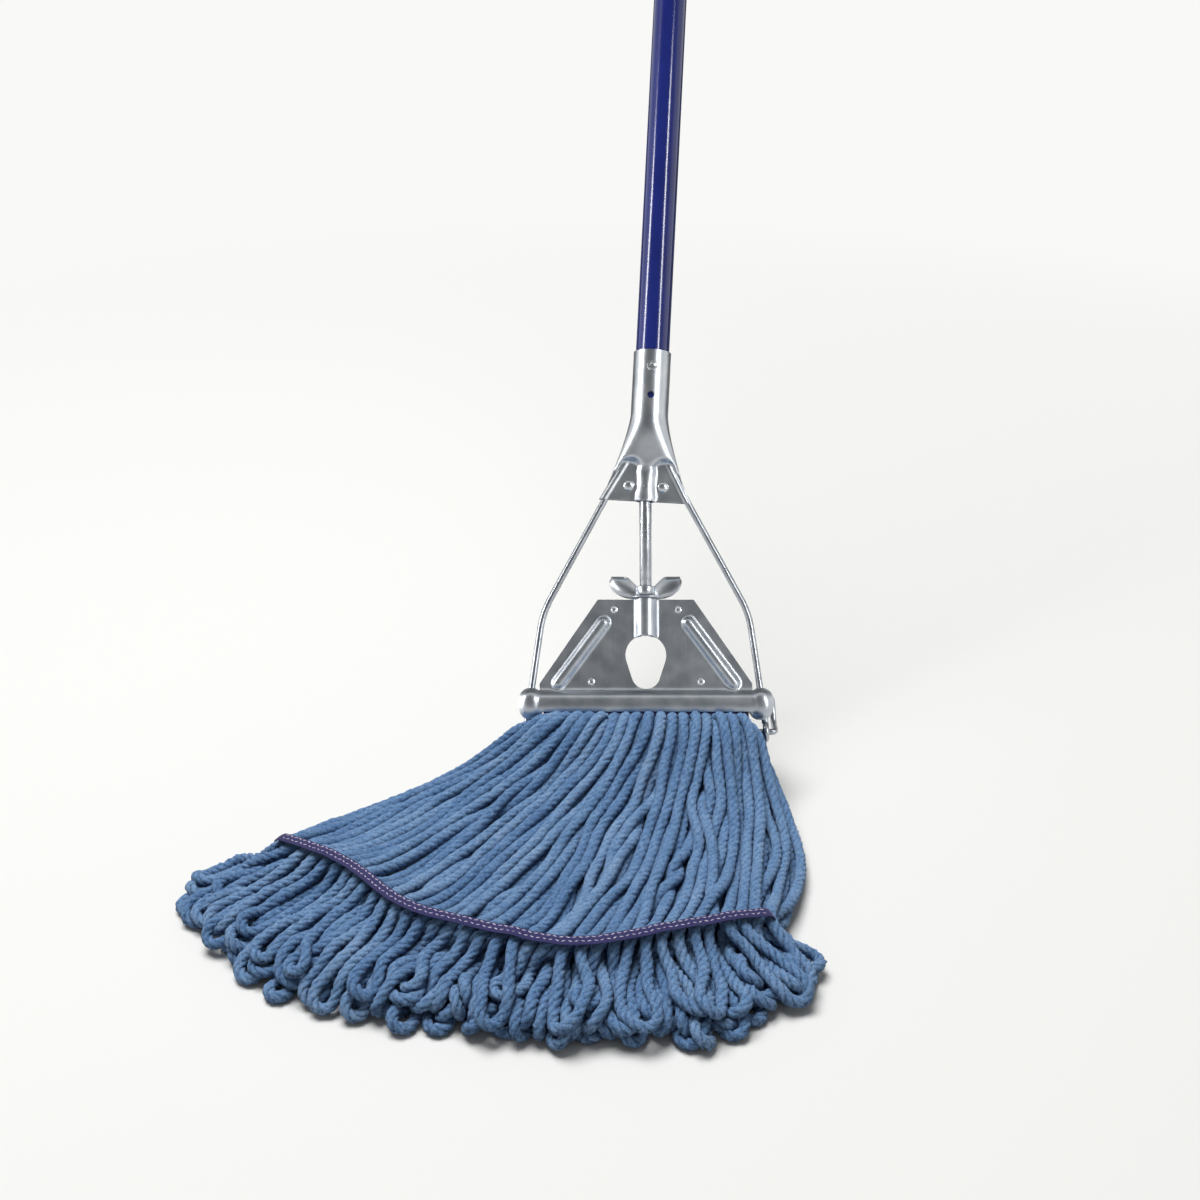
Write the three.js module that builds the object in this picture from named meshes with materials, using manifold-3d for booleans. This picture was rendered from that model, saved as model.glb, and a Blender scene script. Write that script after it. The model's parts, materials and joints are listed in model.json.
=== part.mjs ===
// A wet mop: a plastic-coated steel handle, a stamped socket with a wire bail, a jaw that a wing
// nut presses down on the mop's headband, and a looped-end string mop lying on the floor.
// Millimetres, +Z up, floor at z = 0, the mop lying towards -Y and the handle leaning back to +Y.
import * as THREE from 'three';
import { mergeVertices } from 'three/addons/utils/BufferGeometryUtils.js';
import Module from 'manifold-3d';

const wasm = await Module();
wasm.setup();

// ---- driving dimensions ----
const HANDLE_LEAN = THREE.MathUtils.degToRad(34); // head and handle lean back from upright
const HANDLE_CANT = THREE.MathUtils.degToRad(3); // the handle stands a little askew in the crimped head
const BAR_HEIGHT = 62; // underside of the jaw bar above the floor
const GAP = 0.35; // space left between pieces that touch

const TUBE_RADIUS = 12;
const TUBE_WALL = 1;
const TUBE_LENGTH = 1200;
const CAP_LENGTH = 36;
const CAP_RADIUS = 12.8;
const CAP_HOLE_RADIUS = 4.5;
const CAP_HOLE_RISE = 17; // the hanging hole above the foot of the cap's head
const CAP_PLUG_LENGTH = 28;

const SOCKET_TOP = 258; // heights on the head are measured from the underside of the jaw bar
const SOCKET_BOTTOM = 150;
const SOCKET_RADIUS = 13.4;
const SOCKET_FLARE_START = 212;
const SOCKET_FLARE_WIDTH = 18.2;
const SOCKET_FLAT_HALF = 4.2;
const SOCKET_NECK_FOOT = 186; // above this the socket is hollow
const SOCKET_WALL = 1.5;
const ROD_HOUSING_RADIUS = 6.3;
const CANT_PIVOT = 155;
const TUBE_FOOT = 206;
const SOCKET_RIVET_HEIGHT = 246;
const SOCKET_HOLE_HEIGHT = 225;
const SIGHT_HOLE_RADIUS = 2.4;
const RIVET_HOLE_RADIUS = 2.9;
const RIVET_SHANK = 2.4;
const FAN_RIVET_HEIGHT = 160.5;
const FAN_RIVET_OFFSET = 12;

const ROD_RADIUS = 4.4;
const ROD_TOP = 180;
const ROD_FOOT = 54;
const ROD_TIP_CHAMFER = 0.8;
const PIN_HOLE_RADIUS = 1.7;
const PIN_RADIUS = 1.35;
const PIN_HALF_LENGTH = 6.2;

const WIRE_RADIUS = 2.4;
const BEND_X = 73; // where each bail leg turns from the upper splay to the lower one
const BEND_Z = 70;
const UPPER_SPLAY = 0.5416;
const LOWER_SPLAY = 0.141;
const LEG_TOP = 184;
const GATE_Z = -14;
const GATE_RADIUS = 2.2;
const EYE_RADIUS = 5.1;
const GATE_LEFT = -89;
const GATE_RIGHT = 91;
const GATE_REACH = 11.6; // how far behind the jaw the gate's hooked end rises
const GATE_HEAD = 22; // how far above the gate wire it ends
const CURL_RADIUS = 3.2;

const SHEET = 1.2; // thickness of the stamped jaw sheets
const SPLIT = 0.15; // half the gap between the two jaw sheets
const JAW_TOP = 79.5;
const JAW_TOP_HALF = 34;
const JAW_FOOT_HALF = 75;
const BAR_TOP = 13.5;
const BAR_HALF_DEPTH = 7.6;
const BAR_HALF_LENGTH = 80;
const BOSS_X = 81;
const BOSS_RADIUS = 8.8; // the bosses at the bar's ends are round like knobs
const BOSS_FOOT = -5.5;
const BOSS_HEAD = 17;
const SLANT_FOOT = 20; // where the jaw sheet's slanted sides meet its upright ones
const CHANNEL_RADIUS = 7.65;
const CHANNEL_FOOT = 53;
const FORM_WALL = 1.3; // wall of the deeper pressed shapes
const RIB = { fromX: 30, fromZ: 63, toX: 62, toZ: 20, radius: 4.2, rise: 3.4 };
const EYELETS = [[-22.7, 72.3], [22.7, 72.3], [-38.6, 21.2], [38.6, 21.2]];

const NUT_SEAT = 80.3;
const NUT_SPAN = 25;
const NUT_SLEEVE_FOOT = 62;
const NUT_FLANGE_RADIUS = 11.5;
const WING_LEAN = 0.62;

const YARN_HALF_WIDTH = 72; // where the yarn leaves the bar
const YARN_FRONT = -17; // where the upper and lower yarn layers start, in plan
const YARN_BACK = 4;
const YARN_STEPS = 18;
const SIDE_BULGE = 26; // how far the right side stands out half way along
const HEAP_HEIGHTS = { bar: 60, band: 43, tip: 18 };
const UPPER_LAYER = 10; // thickness of the upper yarn layer
const FLOOR_GAP = 3;
const SEAM = 0.008; // share of the yarn's run left open under the tail band
const TAIL_BAND_WIDTH = 8;
const TAIL_BAND_THICKNESS = 1.4;

// ---- materials ----
function material(color, roughness, metalness) {
  return new THREE.MeshStandardMaterial({ color, roughness, metalness });
}
const zinc = () => material(0xb4b8bd, 0.3, 1);
const handleBlue = () => material(0x1c2f86, 0.2, 0);
const yarnBlue = () => material(0x5a7fae, 0.95, 0);
const bandBlue = () => material(0x2f3566, 0.9, 0);

// ---- solids ----
function toSolid(geometry) {
  const bare = geometry.index ? geometry.toNonIndexed() : geometry.clone();
  bare.deleteAttribute('normal');
  bare.deleteAttribute('uv');
  const merged = mergeVertices(bare, 1e-4);
  const mesh = new wasm.Mesh({
    numProp: 3,
    vertProperties: new Float32Array(merged.attributes.position.array),
    triVerts: new Uint32Array(merged.index.array),
  });
  return new wasm.Manifold(mesh);
}

function toGeometry(solid) {
  const mesh = solid.getMesh();
  const geometry = new THREE.BufferGeometry();
  geometry.setAttribute('position', new THREE.BufferAttribute(mesh.vertProperties, 3));
  geometry.setIndex(new THREE.BufferAttribute(mesh.triVerts, 1));
  geometry.computeVertexNormals();
  return geometry;
}

function joined(...geometries) {
  return geometries.map(toSolid).reduce((a, b) => a.add(b));
}

function cut(solid, ...geometries) {
  return geometries.map(toSolid).reduce((a, b) => a.subtract(b), solid);
}

function box(x0, x1, y0, y1, z0, z1) {
  const geometry = new THREE.BoxGeometry(x1 - x0, y1 - y0, z1 - z0);
  return geometry.translate((x0 + x1) / 2, (y0 + y1) / 2, (z0 + z1) / 2);
}

// An upright bar of the given radius between two heights.
function upright(radius, z0, z1, x = 0, segments = 24) {
  const geometry = new THREE.CylinderGeometry(radius, radius, z1 - z0, segments);
  return geometry.rotateX(Math.PI / 2).translate(x, 0, (z0 + z1) / 2);
}

// A bar running front to back through (x, z).
function crossways(radius, x, z, halfLength, segments = 16) {
  return new THREE.CylinderGeometry(radius, radius, 2 * halfLength, segments).translate(x, 0, z);
}

// A turned piece from [radius, height] pairs, standing on the Z axis.
function turned(profile, segments = 24) {
  const points = profile.map(([radius, height]) => new THREE.Vector2(radius, height));
  return new THREE.LatheGeometry(points, segments).rotateX(Math.PI / 2);
}

// A turned piece lying front to back through (x, z); its profile's height runs along -Y.
function turnedCrossways(profile, x, z, segments = 16) {
  return turned(profile, segments).rotateX(Math.PI / 2).translate(x, 0, z);
}

function rounded(points, radius) {
  const path = new THREE.CurvePath();
  let from = points[0];
  for (let i = 1; i < points.length - 1; i += 1) {
    const toCorner = points[i].clone().sub(points[i - 1]).normalize();
    const fromCorner = points[i + 1].clone().sub(points[i]).normalize();
    const entry = points[i].clone().addScaledVector(toCorner, -radius);
    const exit = points[i].clone().addScaledVector(fromCorner, radius);
    path.add(new THREE.LineCurve3(from, entry));
    path.add(new THREE.QuadraticBezierCurve3(entry, points[i], exit));
    from = exit;
  }
  path.add(new THREE.LineCurve3(from, points[points.length - 1]));
  return path;
}

function wire(path, radius, steps, sides = 8) {
  const section = new THREE.Shape();
  for (let i = 0; i < sides; i += 1) {
    const angle = (2 * Math.PI * i) / sides;
    const corner = [radius * Math.cos(angle), radius * Math.sin(angle)];
    if (i === 0) section.moveTo(...corner);
    else section.lineTo(...corner);
  }
  return new THREE.ExtrudeGeometry(section, { steps, bevelEnabled: false, extrudePath: path });
}

// An outline drawn in the head's plane (x, z), given its thickness from y0 to y1.
function plate(shape, y0, y1, curveSegments = 9) {
  const settings = { depth: y1 - y0, bevelEnabled: false, curveSegments };
  return new THREE.ExtrudeGeometry(shape, settings).rotateX(Math.PI / 2).translate(0, y1, 0);
}

// ---- the head's own frame: x across, y to the back, z up along the rod ----
const legX = (z) => (z > BEND_Z ? BEND_X - (z - BEND_Z) * UPPER_SPLAY : BEND_X + (BEND_Z - z) * LOWER_SPLAY);
const EYE_X = legX(GATE_Z + EYE_RADIUS);

function handleTube() {
  const r = TUBE_RADIUS;
  const foot = TUBE_FOOT;
  const top = TUBE_FOOT + TUBE_LENGTH;
  const wall = [[r - TUBE_WALL, foot], [r, foot], [r, top], [r - TUBE_WALL, top], [r - TUBE_WALL, foot]];
  const rivetHole = crossways(RIVET_HOLE_RADIUS, 0, SOCKET_RIVET_HEIGHT, r + 1);
  return toGeometry(cut(toSolid(turned(wall, 32)), rivetHole));
}

function endCap() {
  const foot = TUBE_FOOT + TUBE_LENGTH + GAP;
  const plug = TUBE_RADIUS - TUBE_WALL - GAP;
  const plugFoot = foot - CAP_PLUG_LENGTH;
  const profile = [
    [0, plugFoot], [plug - 1.5, plugFoot], [plug, plugFoot + 4], [plug, foot], [CAP_RADIUS, foot],
    [CAP_RADIUS, foot + CAP_LENGTH - 16], [CAP_RADIUS - 1.2, foot + CAP_LENGTH - 8],
    [CAP_RADIUS - 4, foot + CAP_LENGTH - 2], [CAP_RADIUS - 6.8, foot + CAP_LENGTH], [0, foot + CAP_LENGTH],
  ];
  const hole = crossways(CAP_HOLE_RADIUS, 0, foot + CAP_HOLE_RISE, CAP_RADIUS + 2);
  return toGeometry(cut(toSolid(turned(profile, 28)), hole));
}

// Half width and half depth of the socket at a height, less a wall for its hollow.
function socketSize(z, wall) {
  const flare = THREE.MathUtils.clamp((SOCKET_FLARE_START - z) / (SOCKET_FLARE_START - SOCKET_BOTTOM), 0, 1);
  const flat = THREE.MathUtils.smoothstep(-z, -208, -174);
  return {
    half: SOCKET_RADIUS + SOCKET_FLARE_WIDTH * flare ** 1.35 - wall,
    depth: THREE.MathUtils.lerp(SOCKET_RADIUS, SOCKET_FLAT_HALF, flat) - wall,
    squareness: THREE.MathUtils.lerp(1, 0.45, flat),
  };
}

// A cylinder whose rings take the socket's section at their height.
function socketForm(z0, z1, wall, rings) {
  const geometry = new THREE.CylinderGeometry(1, 1, z1 - z0, 32, rings);
  geometry.rotateX(Math.PI / 2).translate(0, 0, (z0 + z1) / 2);
  const position = geometry.attributes.position;
  for (let i = 0; i < position.count; i += 1) {
    const x = position.getX(i);
    const y = position.getY(i);
    const { half, depth, squareness } = socketSize(position.getZ(i), wall);
    position.setX(i, Math.sign(x) * Math.abs(x) ** squareness * half);
    position.setY(i, Math.sign(y) * Math.abs(y) ** squareness * depth);
  }
  return geometry;
}

function legPath(side) {
  const at = (z) => new THREE.Vector3(side * legX(z), 0, z);
  return rounded([at(LEG_TOP), at(BEND_Z), at(GATE_Z + EYE_RADIUS)], 12);
}

function socket(headToHandle) {
  const r = ROD_HOUSING_RADIUS;
  const housing = [
    [0, SOCKET_BOTTOM], [r, SOCKET_BOTTOM], [r, SOCKET_NECK_FOOT - 14], [r - 1.8, SOCKET_NECK_FOOT - 4],
    [0, SOCKET_NECK_FOOT],
  ];
  const shell = joined(socketForm(SOCKET_BOTTOM, SOCKET_TOP, 0, 12), turned(housing, 20));
  const bore = upright(TUBE_RADIUS + GAP, TUBE_FOOT - GAP, SOCKET_TOP + 1, 0, 32);
  const neck = socketForm(SOCKET_NECK_FOOT, TUBE_FOOT, SOCKET_WALL, 3);
  const sightHole = crossways(SIGHT_HOLE_RADIUS, 0, SOCKET_HOLE_HEIGHT, SOCKET_RADIUS + 2);
  const rivetHole = crossways(RIVET_HOLE_RADIUS, 0, SOCKET_RIVET_HEIGHT, SOCKET_RADIUS + 2);
  const fanDepth = 2 * SOCKET_FLAT_HALF;
  const fanHoles = [-1, 1].map((side) => (
    crossways(RIVET_HOLE_RADIUS, side * FAN_RIVET_OFFSET, FAN_RIVET_HEIGHT, fanDepth)
  ));
  const pinHole = crossways(PIN_HOLE_RADIUS, 0, FAN_RIVET_HEIGHT, fanDepth).applyMatrix4(headToHandle);
  const rodHole = upright(ROD_RADIUS + GAP, SOCKET_BOTTOM - 10, ROD_TOP + 1).applyMatrix4(headToHandle);
  const legHoles = [-1, 1].map((s) => wire(legPath(s), WIRE_RADIUS + GAP, 24, 8).applyMatrix4(headToHandle));
  const hollow = cut(shell, bore, neck, sightHole, rivetHole, ...fanHoles, pinHole, rodHole, ...legHoles);
  return toGeometry(hollow);
}

// A domed rivet through the socket, its head resting on a face at the given half depth.
function rivet(x, z, halfDepth, headRadius, shank) {
  const face = halfDepth + GAP;
  const dome = [
    [0, face + headRadius * 0.55], [headRadius * 0.55, face + headRadius * 0.45],
    [headRadius * 0.9, face + headRadius * 0.2], [headRadius, face],
  ];
  const back = dome.map(([radius, height]) => [radius, -height]);
  return turnedCrossways([...back, [shank, -face], [shank, face], ...dome.slice().reverse()], x, z);
}

function rod() {
  const tip = ROD_RADIUS - ROD_TIP_CHAMFER;
  const bar = turned([
    [0, ROD_FOOT], [tip, ROD_FOOT], [ROD_RADIUS, ROD_FOOT + 1], [ROD_RADIUS, ROD_TOP], [0, ROD_TOP],
  ]);
  const pinHole = crossways(PIN_HOLE_RADIUS, 0, FAN_RIVET_HEIGHT, 2 * ROD_RADIUS);
  return toGeometry(cut(toSolid(bar), pinHole));
}

function rodPin() {
  return crossways(PIN_RADIUS, 0, FAN_RIVET_HEIGHT, PIN_HALF_LENGTH, 12);
}

// The left leg ends in an eye round the gate wire, the right one in a hook under it.
function legLeft() {
  const eye = new THREE.TorusGeometry(EYE_RADIUS, WIRE_RADIUS, 8, 16);
  eye.rotateY(Math.PI / 2).translate(-EYE_X, 0, GATE_Z);
  return toGeometry(joined(wire(legPath(-1), WIRE_RADIUS, 24), eye));
}

function legRight() {
  const turns = [];
  for (let angle = 90; angle <= 290; angle += 20) {
    const a = THREE.MathUtils.degToRad(angle);
    turns.push(new THREE.Vector3(EYE_X, EYE_RADIUS * Math.cos(a), GATE_Z + EYE_RADIUS * Math.sin(a)));
  }
  const hook = wire(new THREE.CatmullRomCurve3(turns), WIRE_RADIUS, 9);
  const knuckle = new THREE.SphereGeometry(WIRE_RADIUS * 1.04, 8, 6).translate(EYE_X, 0, GATE_Z + EYE_RADIUS);
  return toGeometry(joined(wire(legPath(1), WIRE_RADIUS, 24), hook, knuckle));
}

// The wire that the mop hangs over. Its right end turns up behind the jaw and ends in a curl.
function gateWire() {
  const top = GATE_Z + GATE_HEAD;
  const run = rounded([
    new THREE.Vector3(GATE_LEFT, 0, GATE_Z), new THREE.Vector3(GATE_RIGHT, 0, GATE_Z),
    new THREE.Vector3(GATE_RIGHT, GATE_REACH, GATE_Z + 7), new THREE.Vector3(GATE_RIGHT - 1, GATE_REACH, top),
  ], 3);
  const centre = GATE_RIGHT - 1 - CURL_RADIUS;
  const curl = [];
  for (let angle = 0; angle <= 280; angle += 28) {
    const a = THREE.MathUtils.degToRad(angle);
    const across = centre + CURL_RADIUS * Math.cos(a);
    curl.push(new THREE.Vector3(across, GATE_REACH, top + CURL_RADIUS * Math.sin(a)));
  }
  const tip = wire(new THREE.CatmullRomCurve3(curl), GATE_RADIUS * 0.85, 10);
  const knuckle = new THREE.SphereGeometry(GATE_RADIUS * 1.04, 8, 6).translate(GATE_RIGHT - 1, GATE_REACH, top);
  return toGeometry(joined(wire(run, GATE_RADIUS, 60), tip, knuckle));
}

// ---- the jaw: two stamped sheets back to back ----
function jawOutline() {
  const shape = new THREE.Shape();
  shape.moveTo(-JAW_TOP_HALF, JAW_TOP);
  shape.lineTo(JAW_TOP_HALF, JAW_TOP);
  shape.lineTo(JAW_FOOT_HALF, SLANT_FOOT);
  shape.lineTo(JAW_FOOT_HALF, BAR_TOP - 1);
  shape.lineTo(-JAW_FOOT_HALF, BAR_TOP - 1);
  shape.lineTo(-JAW_FOOT_HALF, SLANT_FOOT);
  shape.closePath();
  return shape;
}

function windowOutline() {
  const shape = new THREE.Shape();
  shape.absarc(0, 40.5, 14, 0, Math.PI, false);
  shape.absarc(0, 24, 7.8, Math.PI, 2 * Math.PI, false);
  shape.closePath();
  return shape;
}

// The bar's section, wider at its open foot, drawn across the head.
function barForm(inset, foot, halfLength) {
  const half = BAR_HALF_DEPTH - inset;
  const shape = new THREE.Shape();
  shape.moveTo(-half, foot);
  shape.lineTo(half, foot);
  shape.lineTo(half, 7);
  shape.quadraticCurveTo(half, 11.5 - inset, SHEET + SPLIT, BAR_TOP + 1 - inset);
  shape.lineTo(-SHEET - SPLIT, BAR_TOP + 1 - inset);
  shape.quadraticCurveTo(-half, 11.5 - inset, -half, 7);
  shape.closePath();
  const settings = { depth: 2 * halfLength, bevelEnabled: false, curveSegments: 5 };
  const geometry = new THREE.ExtrudeGeometry(shape, settings);
  // the outline's x runs along Y and its y along Z, and the extrusion runs along X
  geometry.applyMatrix4(new THREE.Matrix4().makeBasis(
    new THREE.Vector3(0, 1, 0), new THREE.Vector3(0, 0, 1), new THREE.Vector3(1, 0, 0),
  ));
  return geometry.translate(-halfLength, 0, 0);
}

function bossForm(side, inset) {
  const r = BOSS_RADIUS - inset;
  const head = BOSS_HEAD - inset;
  const foot = inset > 0 ? BOSS_FOOT - 1 : BOSS_FOOT;
  const profile = [
    [0, foot], [r * 0.72, foot], [r * 0.9, foot + 2.5], [r, foot + 7], [r, head - 8], [r * 0.93, head - 4.5],
    [r * 0.72, head - 1.6], [r * 0.4, head], [0, head],
  ];
  return turned(profile, 16).translate(side * BOSS_X, 0, 0);
}

function ribForm(side, radius, rise) {
  const from = new THREE.Vector3(side * RIB.fromX, 0, RIB.fromZ);
  const to = new THREE.Vector3(side * RIB.toX, 0, RIB.toZ);
  const rib = new THREE.CapsuleGeometry(radius, from.distanceTo(to), 3, 10);
  const along = to.clone().sub(from).normalize();
  const lean = Math.atan2(along.x, along.z);
  rib.rotateX(Math.PI / 2).scale(1, rise / radius, 1).rotateY(lean);
  return rib.translate((from.x + to.x) / 2, 0, (from.z + to.z) / 2);
}

function jawSolid() {
  const half = SHEET + SPLIT;
  const outer = joined(
    plate(jawOutline(), -half, half), barForm(0, 0, BAR_HALF_LENGTH),
    bossForm(-1, 0), bossForm(1, 0), upright(CHANNEL_RADIUS, CHANNEL_FOOT, JAW_TOP + 0.4),
    ribForm(-1, RIB.radius, RIB.rise), ribForm(1, RIB.radius, RIB.rise),
  );
  // the legs enter the bosses through slots in their tops
  const slotInner = 74.9;
  const slotOuter = 86;
  const mouths = [-1, 1].map((s) => box(
    Math.min(s * slotInner, s * slotOuter), Math.max(s * slotInner, s * slotOuter), -3, 3, 8, BOSS_HEAD + 1,
  ));
  const hollowRib = [RIB.radius - 1.1, RIB.rise - 1.2];
  return cut(
    outer, barForm(SHEET, -1, BAR_HALF_LENGTH), bossForm(-1, FORM_WALL), bossForm(1, FORM_WALL),
    upright(CHANNEL_RADIUS - FORM_WALL, CHANNEL_FOOT - 1, JAW_TOP + 1),
    ribForm(-1, ...hollowRib), ribForm(1, ...hollowRib), plate(windowOutline(), -9, 9), ...mouths,
    ...EYELETS.map(([x, z]) => crossways(2, x, z, 9)),
  );
}

function eyelet([x, z]) {
  const face = SHEET + SPLIT + GAP;
  return turnedCrossways([
    [0.9, -face - 0.6], [2.4, -face - 0.5], [2.6, -face], [1.6, -face], [1.6, face], [2.6, face],
    [2.4, face + 0.5], [0.9, face + 0.6], [0.9, -face - 0.6],
  ], x, z, 12);
}

function wingNut() {
  const bore = ROD_RADIUS + GAP;
  const sleeve = CHANNEL_RADIUS - FORM_WALL - GAP;
  const flange = NUT_FLANGE_RADIUS;
  const hub = turned([
    [bore, NUT_SLEEVE_FOOT], [sleeve, NUT_SLEEVE_FOOT], [sleeve, NUT_SEAT], [flange, NUT_SEAT],
    [flange, NUT_SEAT + 1.1], [7.6, NUT_SEAT + 2.6], [6.8, NUT_SEAT + 8], [bore, NUT_SEAT + 8.6],
    [bore, NUT_SLEEVE_FOOT],
  ], 24);
  const wings = [-1, 1].map((side) => {
    const wing = new THREE.SphereGeometry(1, 12, 8).scale(11.5, 1.9, 5.6);
    return wing.rotateY(-side * WING_LEAN).translate(side * (NUT_SPAN - 9.6), 0, NUT_SEAT + 8.6);
  });
  return toGeometry(cut(joined(hub, ...wings), upright(bore, ROD_FOOT, NUT_SEAT + 30, 0, 24)));
}

// The band that the yarn is sewn through: a strip folded over the gate wire, up inside the bar.
function headband() {
  const outer = BAR_HALF_DEPTH - SHEET - GAP - 0.3;
  const inner = GATE_RADIUS + 0.5;
  const foot = -11;
  const fold = -6;
  const shape = new THREE.Shape();
  shape.moveTo(-outer, foot);
  shape.lineTo(-inner, foot);
  shape.lineTo(-inner, fold);
  shape.absarc(0, fold, inner, Math.PI, 0, true);
  shape.lineTo(inner, foot);
  shape.lineTo(outer, foot);
  shape.lineTo(outer, 0);
  shape.absarc(0, 0, outer, 0, Math.PI, false);
  shape.closePath();
  const settings = { depth: 2 * YARN_HALF_WIDTH, bevelEnabled: false, curveSegments: 6 };
  const geometry = new THREE.ExtrudeGeometry(shape, settings);
  geometry.applyMatrix4(new THREE.Matrix4().makeBasis(
    new THREE.Vector3(0, 1, 0), new THREE.Vector3(0, 0, 1), new THREE.Vector3(1, 0, 0),
  ));
  return geometry.translate(-YARN_HALF_WIDTH, 0, 0);
}

// ---- the mop on the floor; here (0, 0) lies under the middle of the jaw bar ----
const tailLine = new THREE.CatmullRomCurve3([
  new THREE.Vector3(-242, -112, 0), new THREE.Vector3(-196, -146, 0), new THREE.Vector3(-153, -191, 0),
  new THREE.Vector3(-100, -214, 0), new THREE.Vector3(-50, -228, 0), new THREE.Vector3(0, -217, 0),
  new THREE.Vector3(72, -192, 0),
]);
const tipLine = new THREE.CatmullRomCurve3([
  new THREE.Vector3(-310, -160, 0), new THREE.Vector3(-274, -210, 0), new THREE.Vector3(-200, -246, 0),
  new THREE.Vector3(-115, -272, 0), new THREE.Vector3(-35, -281, 0), new THREE.Vector3(42, -280, 0),
  new THREE.Vector3(98, -240, 0),
]);

// Plan position of yarn s (-1 left to 1 right) at a share of the way from the bar to the tail band.
function yarnPlan(s, share, startY) {
  const tail = tailLine.getPoint((s + 1) / 2);
  const x = THREE.MathUtils.lerp(s * YARN_HALF_WIDTH, tail.x, share ** 1.1);
  const bulge = SIDE_BULGE * Math.max(0, s) ** 2 * Math.sin(Math.PI * share);
  return [x + bulge, THREE.MathUtils.lerp(startY, tail.y, share)];
}

function fringePlan(s, share) {
  const tail = tailLine.getPoint((s + 1) / 2);
  const tip = tipLine.getPoint((s + 1) / 2);
  return [THREE.MathUtils.lerp(tail.x, tip.x, share), THREE.MathUtils.lerp(tail.y, tip.y, share)];
}

// Top of the upper yarn layer: high under the bar, settling to the floor with thinner edges.
function heapTop(s, share) {
  const fall = THREE.MathUtils.lerp(HEAP_HEIGHTS.bar, HEAP_HEIGHTS.band, share ** 0.75);
  return fall - 8 * share * Math.abs(s) ** 5;
}

// A block bent over the plan: its length runs from the bar outward, its height between two surfaces.
function draped(plan, bottom, top, across, along) {
  const geometry = new THREE.BoxGeometry(2, 1, 1, across, along, 1).translate(0, 0.5, 0);
  const position = geometry.attributes.position;
  for (let i = 0; i < position.count; i += 1) {
    const s = position.getX(i);
    const share = 1 - position.getY(i);
    const [x, y] = plan(s, share);
    const z = position.getZ(i) > 0 ? top(s, share) : bottom(s, share);
    position.setXYZ(i, x, y, z);
  }
  return toGeometry(toSolid(geometry));
}

const upperBottom = (s, share) => heapTop(s, share) - UPPER_LAYER + 2 * (1 - share);
const lowerTop = (s, share) => Math.min(upperBottom(s, share) - 1, THREE.MathUtils.lerp(42, 30, share));
const lowerBottom = (s, share) => FLOOR_GAP + 17 * (1 - THREE.MathUtils.smoothstep(share, 0, 0.45));
const fringeTop = (s, share) => THREE.MathUtils.lerp(heapTop(s, 1), HEAP_HEIGHTS.tip, share ** 1.3);
const fringeSplit = (s, share) => THREE.MathUtils.lerp(upperBottom(s, 1), HEAP_HEIGHTS.tip / 2, share ** 1.3);

function tailBand(surface, lift) {
  const centre = (s) => tailLine.getPoint((s + 1) / 2);
  const plan = (s, share) => {
    const at = centre(s);
    return [at.x, at.y + (0.5 - share) * TAIL_BAND_WIDTH];
  };
  const foot = (s) => surface(s, 1) + lift;
  return draped(plan, foot, (s) => foot(s) + TAIL_BAND_THICKNESS, YARN_STEPS, 1);
}

function yarnUpper() {
  const plan = (s, share) => yarnPlan(s, share * (1 - SEAM), YARN_FRONT);
  return draped(plan, upperBottom, heapTop, YARN_STEPS, 10);
}

function yarnLower() {
  const plan = (s, share) => yarnPlan(s, share * (1 - SEAM), YARN_BACK);
  return draped(plan, lowerBottom, lowerTop, YARN_STEPS, 10);
}

function fringeUpper() {
  return draped(fringePlan, (s, share) => fringeSplit(s, share) + 0.5, fringeTop, YARN_STEPS, 5);
}

function fringeLower() {
  return draped(fringePlan, () => FLOOR_GAP, (s, share) => fringeSplit(s, share) - 0.5, YARN_STEPS, 5);
}

// ---- assembly ----
const group = new THREE.Group();
const floorGroup = new THREE.Group();
const headGroup = new THREE.Group();
const handleGroup = new THREE.Group();
group.add(floorGroup);
floorGroup.add(headGroup);
headGroup.add(handleGroup);
headGroup.position.set(0, 0, BAR_HEIGHT);
headGroup.rotation.x = -HANDLE_LEAN;
handleGroup.position.z = CANT_PIVOT;
handleGroup.rotation.y = HANDLE_CANT;

const handleFrame = new THREE.Matrix4().makeTranslation(0, 0, CANT_PIVOT)
  .multiply(new THREE.Matrix4().makeRotationY(HANDLE_CANT))
  .multiply(new THREE.Matrix4().makeTranslation(0, 0, -CANT_PIVOT));
const headToHandle = handleFrame.clone().invert();

function add(parent, name, geometry, surface) {
  const mesh = new THREE.Mesh(geometry, surface);
  mesh.name = name;
  parent.add(mesh);
  return mesh;
}

// Handle pieces are drawn at their heights above the jaw bar, and hang from the pivot of the cant.
function addToHandle(name, geometry, surface) {
  add(handleGroup, name, geometry, surface).position.z = -CANT_PIVOT;
}

addToHandle('handle_tube', handleTube(), handleBlue());
addToHandle('handle_end_cap', endCap(), material(0x202430, 0.5, 0));
addToHandle('socket', socket(headToHandle), zinc());
addToHandle('socket_rivet', rivet(0, SOCKET_RIVET_HEIGHT, SOCKET_RADIUS, 3.9, 2.4), zinc());
addToHandle('fan_rivet_left', rivet(-FAN_RIVET_OFFSET, FAN_RIVET_HEIGHT, SOCKET_FLAT_HALF, 4.3, 2.4), zinc());
addToHandle('fan_rivet_right', rivet(FAN_RIVET_OFFSET, FAN_RIVET_HEIGHT, SOCKET_FLAT_HALF, 4.3, 2.4), zinc());
add(headGroup, 'rod', rod(), zinc());
add(headGroup, 'rod_pin', rodPin(), zinc());
add(headGroup, 'bail_leg_left', legLeft(), zinc());
add(headGroup, 'bail_leg_right', legRight(), zinc());
add(headGroup, 'gate_wire', gateWire(), zinc());

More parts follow.
